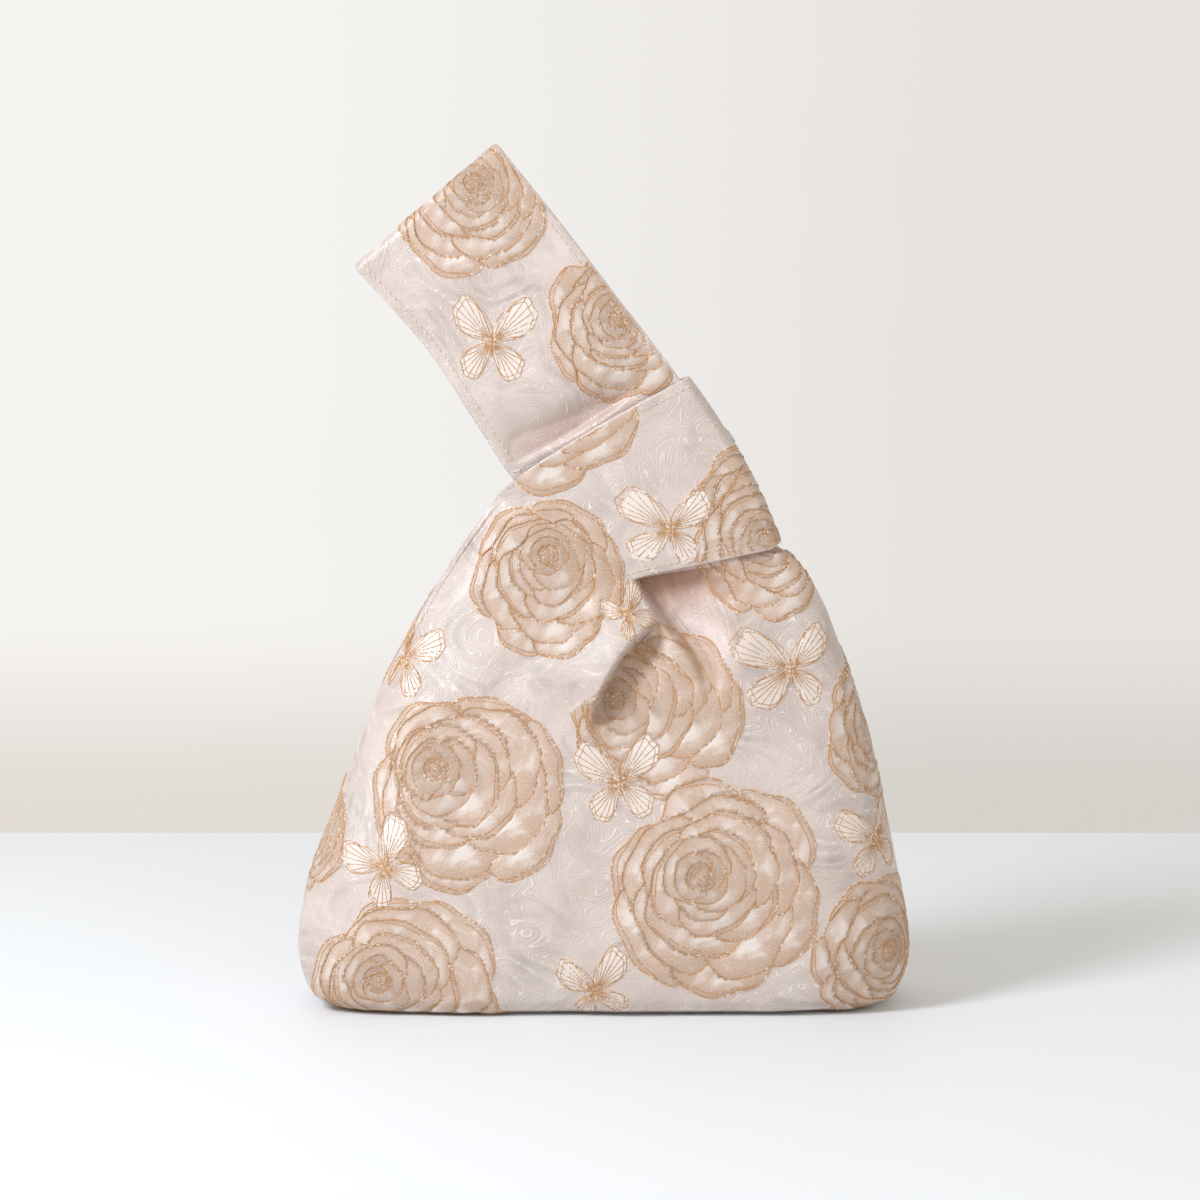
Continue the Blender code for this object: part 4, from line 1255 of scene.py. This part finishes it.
class Tree:
    """A Geometry Nodes tree being made, with named inputs for its sizes."""

    def __init__(self, name, sizes):
        self.group = bpy.data.node_groups.new(name, "GeometryNodeTree")
        face = self.group.interface
        face.new_socket("Geometry", in_out="INPUT", socket_type="NodeSocketGeometry")
        face.new_socket("Geometry", in_out="OUTPUT", socket_type="NodeSocketGeometry")
        self.sizes = {}
        for key in sizes:
            self.sizes[key] = face.new_socket(key, in_out="INPUT", socket_type="NodeSocketFloat")
        self.enter = self.group.nodes.new("NodeGroupInput")
        self.leave = self.group.nodes.new("NodeGroupOutput")

    def node(self, kind, settings=None, sockets=None):
        """A node with its settings and sockets."""
        made = self.group.nodes.new(kind)
        for key, value in (settings or {}).items():
            setattr(made, key, value)
        for key, value in (sockets or {}).items():
            if isinstance(value, bpy.types.NodeSocket):
                self.group.links.new(value, made.inputs[key])
            else:
                made.inputs[key].default_value = value
        return made

    def grow(self, source, result, material, values):
        """Ends the tree, runs it on the source object and leaves the plain mesh in its place."""
        real = self.node("GeometryNodeRealizeInstances", None, {"Geometry": result})
        sockets = {"Geometry": real.outputs[0], "Material": material}
        coloured = self.node("GeometryNodeSetMaterial", None, sockets)
        self.group.links.new(coloured.outputs[0], self.leave.inputs[0])
        grown = source.modifiers.new(self.group.name, "NODES")
        grown.node_group = self.group
        for key, value in values.items():
            grown[self.sizes[key].identifier] = value
        evaluated = source.evaluated_get(bpy.context.evaluated_depsgraph_get())
        mesh = bpy.data.meshes.new_from_object(evaluated)
        source.modifiers.remove(grown)
        name, old = source.name, source.data
        source.data = mesh
        bpy.data.meshes.remove(old)
        mesh.name = name
        return source


def line_object(name, runs):
    """An object of plain edges along the runs, with each point's radius."""
    points = np.concatenate([run for run, _ in runs])
    radii = np.concatenate([np.full(len(run), radius) for run, radius in runs])
    edges, start = [], 0
    for run, _ in runs:
        edges += [(k, k + 1) for k in range(start, start + len(run) - 1)]
        start += len(run)
    mesh = bpy.data.meshes.new(name)
    mesh.from_pydata(points.tolist(), edges, [])
    put_attribute(mesh, "thickness", "FLOAT", radii)
    made = bpy.data.objects.new(name, mesh)
    bpy.context.scene.collection.objects.link(made)
    return made


def thread_piece(name, runs, material):
    """Round thread along the runs."""
    tree = Tree("thread along lines", ("Fullness",))
    curve = tree.node("GeometryNodeMeshToCurve", None, {"Mesh": tree.enter.outputs["Geometry"]})
    thickness = tree.node("GeometryNodeInputNamedAttribute", {"data_type": "FLOAT"}, {"Name": "thickness"})
    place = tree.node("GeometryNodeSplineParameter")
    lengths = tree.node(
        "GeometryNodeStoreNamedAttribute",
        {"data_type": "FLOAT", "domain": "POINT"},
        {"Geometry": curve.outputs[0], "Name": "along", "Value": place.outputs["Length"]},
    )
    circle = tree.node(
        "GeometryNodeCurvePrimitiveCircle",
        None,
        {"Resolution": THREAD_SIDES, "Radius": tree.enter.outputs["Fullness"]},
    )
    profile = tree.node(
        "GeometryNodeStoreNamedAttribute",
        {"data_type": "FLOAT", "domain": "POINT"},
        {"Geometry": circle.outputs[0], "Name": "around", "Value": place.outputs["Factor"]},
    )
    tube = tree.node(
        "GeometryNodeCurveToMesh",
        None,
        {
            "Curve": lengths.outputs[0],
            "Profile Curve": profile.outputs[0],
            "Scale": thickness.outputs[0],
            "Fill Caps": True,
        },
    )
    smooth = tree.node("GeometryNodeSetShadeSmooth", None, {"Geometry": tube.outputs[0]})
    return tree.grow(line_object(name, runs), smooth.outputs[0], material, {"Fullness": THREAD_FULLNESS})


def stitch_piece(name, runs, material):
    """A row of stitches along each run."""
    tree = Tree("stitches along lines", ("Pitch", "Stitch length", "Stitch radius"))
    size = tree.enter.outputs
    curve = tree.node("GeometryNodeMeshToCurve", None, {"Mesh": size["Geometry"]})
    even = tree.node(
        "GeometryNodeResampleCurve", {"mode": "LENGTH"}, {"Curve": curve.outputs[0], "Length": size["Pitch"]}
    )
    round_bead = {"Segments": STITCH_SIDES, "Rings": STITCH_RINGS, "Radius": 1.0}
    bead = tree.node("GeometryNodeMeshUVSphere", None, round_bead)
    half = tree.node("ShaderNodeMath", {"operation": "MULTIPLY"}, {0: size["Stitch length"], 1: 0.5})
    shape = tree.node(
        "ShaderNodeCombineXYZ", None, {0: half.outputs[0], 1: size["Stitch radius"], 2: size["Stitch radius"]}
    )
    tangent = tree.node("GeometryNodeInputTangent")
    aimed = tree.node("FunctionNodeAlignRotationToVector", {"axis": "X"}, {"Vector": tangent.outputs[0]})
    stitches = tree.node(
        "GeometryNodeInstanceOnPoints",
        None,
        {
            "Points": even.outputs[0],
            "Instance": bead.outputs[0],
            "Rotation": aimed.outputs[0],
            "Scale": shape.outputs[0],
        },
    )
    smooth = tree.node("GeometryNodeSetShadeSmooth", None, {"Geometry": stitches.outputs[0]})
    values = {"Pitch": STITCH_PITCH, "Stitch length": STITCH_LENGTH, "Stitch radius": STITCH_RADIUS}
    return tree.grow(line_object(name, runs), smooth.outputs[0], material, values)


def stitch_runs(side):
    """Lines of topstitching beside the edges of both straps."""
    runs = []
    inset = STITCH_INSET / STRAP_WIDTH
    for at in (inset, 1 - inset):
        spot = np.array([at])
        for line_of, stitching in ((long_strap_line, LONG_STITCHING), (short_strap_line, SHORT_STITCHING)):
            rows = np.linspace(*stitching)
            line = np.array([line_of(spot, row)[0][0] for row in rows])
            if side > 0 and line_of is long_strap_line:
                line = slipped(line, rows)
            line[:, 1] = (np.minimum(line[:, 1], -SEAM_GAP) - STITCH_LIFT) * -side
            runs.append((line, STITCH_RADIUS))
    return runs


def outer_panel(label, side, roses, butterflies, materials):
    """The fine outer cloth of one side with its gold thread and stitching."""
    cloth = Cloth(side, roses, butterflies)
    points, quads, source = hem(cloth.points, cloth.normals, cloth.quads)
    panel = mesh_object(f"{label}_cloth", points, quads)
    everywhere = np.concatenate([np.arange(len(cloth.points)), source])
    on_hem = np.arange(len(points)) >= len(cloth.points)
    attributes = {"petal": cloth.petal, "wing": cloth.wing, "shade": cloth.shade, "painted_shade": cloth.painted_shade}
    for name, values in attributes.items():
        put_attribute(panel.data, name, "FLOAT", np.where(on_hem, 0, values[everywhere]))
    motif = cloth.motif[everywhere]
    put_attribute(panel.data, "motif", "FLOAT_VECTOR", np.column_stack([motif, motif[:, 0] * 0]))
    put_flat_places(panel.data, cloth.flat[everywhere])
    panel.data.materials.append(materials["brocade"])
    roses_thread = thread_piece(f"{label}_rose_thread", cloth.outlines, materials["gold"])
    wings_thread = thread_piece(f"{label}_butterfly_thread", cloth.veins, materials["gold"])
    stitches = stitch_piece(f"{label}_stitching", stitch_runs(side), materials["sewing"])
    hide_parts(f"{label}_panel")
    pieces = [roses_thread, wings_thread, stitches]
    for piece in (panel, *pieces):
        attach(piece, "root")
    return panel, pieces


def lining_panel(label, side, material):
    """The lining of one side, inside its outer cloth."""
    points, flat, quads, _, _, place = front_grid(LINING_COARSENESS)
    points[:, 1] = np.minimum(points[:, 1], -SEAM_GAP / 2)
    if side > 0:
        points = slipped(points, place)
    normals = point_normals(points, quads)
    _, rim, out, free = free_rim(points, normals, quads)
    points[rim] -= out * LINING_SETBACK * free[:, None]
    points = points - normals * (CLOTH_THICKNESS + LAYER_GAP + LINING_SLACK)
    points[:, 1] = np.minimum(points[:, 1], -SEAM_GAP / 2)
    if side > 0:
        points = points * [1, -1, 1]
        quads = quads[:, ::-1]
    panel = mesh_object(f"{label}_lining_cloth", points, quads)
    put_flat_places(panel.data, flat)
    panel.data.materials.append(material)
    wall = panel.modifiers.new("lining thickness", "SOLIDIFY")
    wall.thickness = LINING_THICKNESS - LINING_SLACK
    wall.offset = -1
    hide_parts(f"{label}_lining")
    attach(panel, "root")
    return panel


def table_top():
    """A white table top that fades to the pale of the room far out."""
    top = Finish("white table top", Roughness=0.55, Specular_IOR_Level=0.25, Emission_Strength=1.0)
    place = top.node("TexCoord", output="Object")
    white = top.mixed(top.noise(place, TABLE_CLOUD_SCALE, 2.0), *map(srgb, TABLE_WHITES))
    far = top.node("VectorMath", {"operation": "LENGTH"}, {0: place}, output=1).between(*TABLE_FADE)
    glow = top.mixed(far, BLACK, srgb(BACKDROP))
    return top.finish(Base_Color=top.mixed(far, white, BLACK), Emission_Color=glow)


def glowing_painted_wall():
    """A pale wall that glows with painted light and shade, whatever the lamps: painted darker to the right
    and low down.
    """
    wall = Finish(
        "pale wall", Roughness=0.9, Specular_IOR_Level=0.0, Base_Color=BLACK, Emission_Strength=1.0
    )
    place = wall.node("TexCoord", output="Object")
    sideways = wall.node("SeparateXYZ", None, {0: place})
    upwards = wall.node("SeparateXYZ", None, {0: place}, output=2)
    cloudy = wall.noise(place, WALL_CLOUD_SCALE, 3.0).between(0.3, 0.7) * WALL_CLOUDINESS
    # Painted shade: the glow grows darker to the right and low down
    right = sideways.between(*WALL_FADE_SIDE) + cloudy
    high = wall.mixed(right, *map(srgb, WALL_HIGH_PAINTED_LIGHT))
    low = wall.mixed(right, *map(srgb, WALL_LOW_PAINTED_LIGHT))
    return wall.finish(Emission_Color=wall.mixed(upwards.between(*WALL_FADE_UP), low, high))


def table_and_wall():
    """The table with its far edge, and the wall behind it."""
    table = mesh_object("table", np.array(TABLE_CORNERS), np.array([[0, 1, 2, 3]]))
    wall = mesh_object("wall", np.array(WALL_CORNERS), np.array([[0, 1, 2, 3]]))
    table.data.materials.append(table_top())
    wall.data.materials.append(glowing_painted_wall())


def lamp(name, place, target, size, power, colour):
    """A soft square lamp, turned to its target."""
    light = bpy.data.lights.new(name, "AREA")
    light.energy, light.size, light.color = power, size, colour
    made = bpy.data.objects.new(name, light)
    made.location = place
    made.rotation_euler = (Vector(place) - Vector(target)).to_track_quat("Z", "Y").to_euler()
    bpy.context.scene.collection.objects.link(made)


def studio():
    """Soft light from the upper left, pale light all round, and the camera in front."""
    scene = bpy.context.scene
    scene.view_settings.view_transform = "Standard"
    world = bpy.data.worlds.new("studio")
    scene.world = world
    world.use_nodes = True
    nodes, links = world.node_tree.nodes, world.node_tree.links
    lit, seen = nodes["Background"], nodes.new("ShaderNodeBackground")
    choice = nodes.new("ShaderNodeMixShader")
    lit.inputs["Color"].default_value = WORLD_COLOUR
    lit.inputs["Strength"].default_value = WORLD_STRENGTH
    seen.inputs["Color"].default_value = srgb(BACKDROP)
    links.new(nodes.new("ShaderNodeLightPath").outputs["Is Camera Ray"], choice.inputs[0])
    links.new(lit.outputs[0], choice.inputs[1])
    links.new(seen.outputs[0], choice.inputs[2])
    links.new(choice.outputs[0], nodes["World Output"].inputs["Surface"])
    for light in LAMPS:
        lamp(*light)
    camera = bpy.data.cameras.new("camera")
    camera.lens, camera.sensor_width = LENS, SENSOR_WIDTH
    holder = bpy.data.objects.new("camera", camera)
    scene.collection.objects.link(holder)
    scene.camera = holder
    elevation = math.radians(CAMERA_ELEVATION)
    away = Vector((0, -math.cos(elevation), math.sin(elevation)))
    holder.location = Vector(CAMERA_TARGET) + away * CAMERA_DISTANCE
    holder.rotation_euler = away.to_track_quat("Z", "Y").to_euler()


materials = {"brocade": brocade(), "gold": gold_thread(), "lining": plain_satin(), "sewing": sewing_thread()}
studio()
table_and_wall()
for label, side, roses, butterflies in (
    ("front", -1, FRONT_ROSES, FRONT_BUTTERFLIES),
    ("back", 1, BACK_ROSES, BACK_BUTTERFLIES),
):
    panel, pieces = outer_panel(label, side, roses, butterflies, materials)
    lining = lining_panel(label, side, materials["lining"])
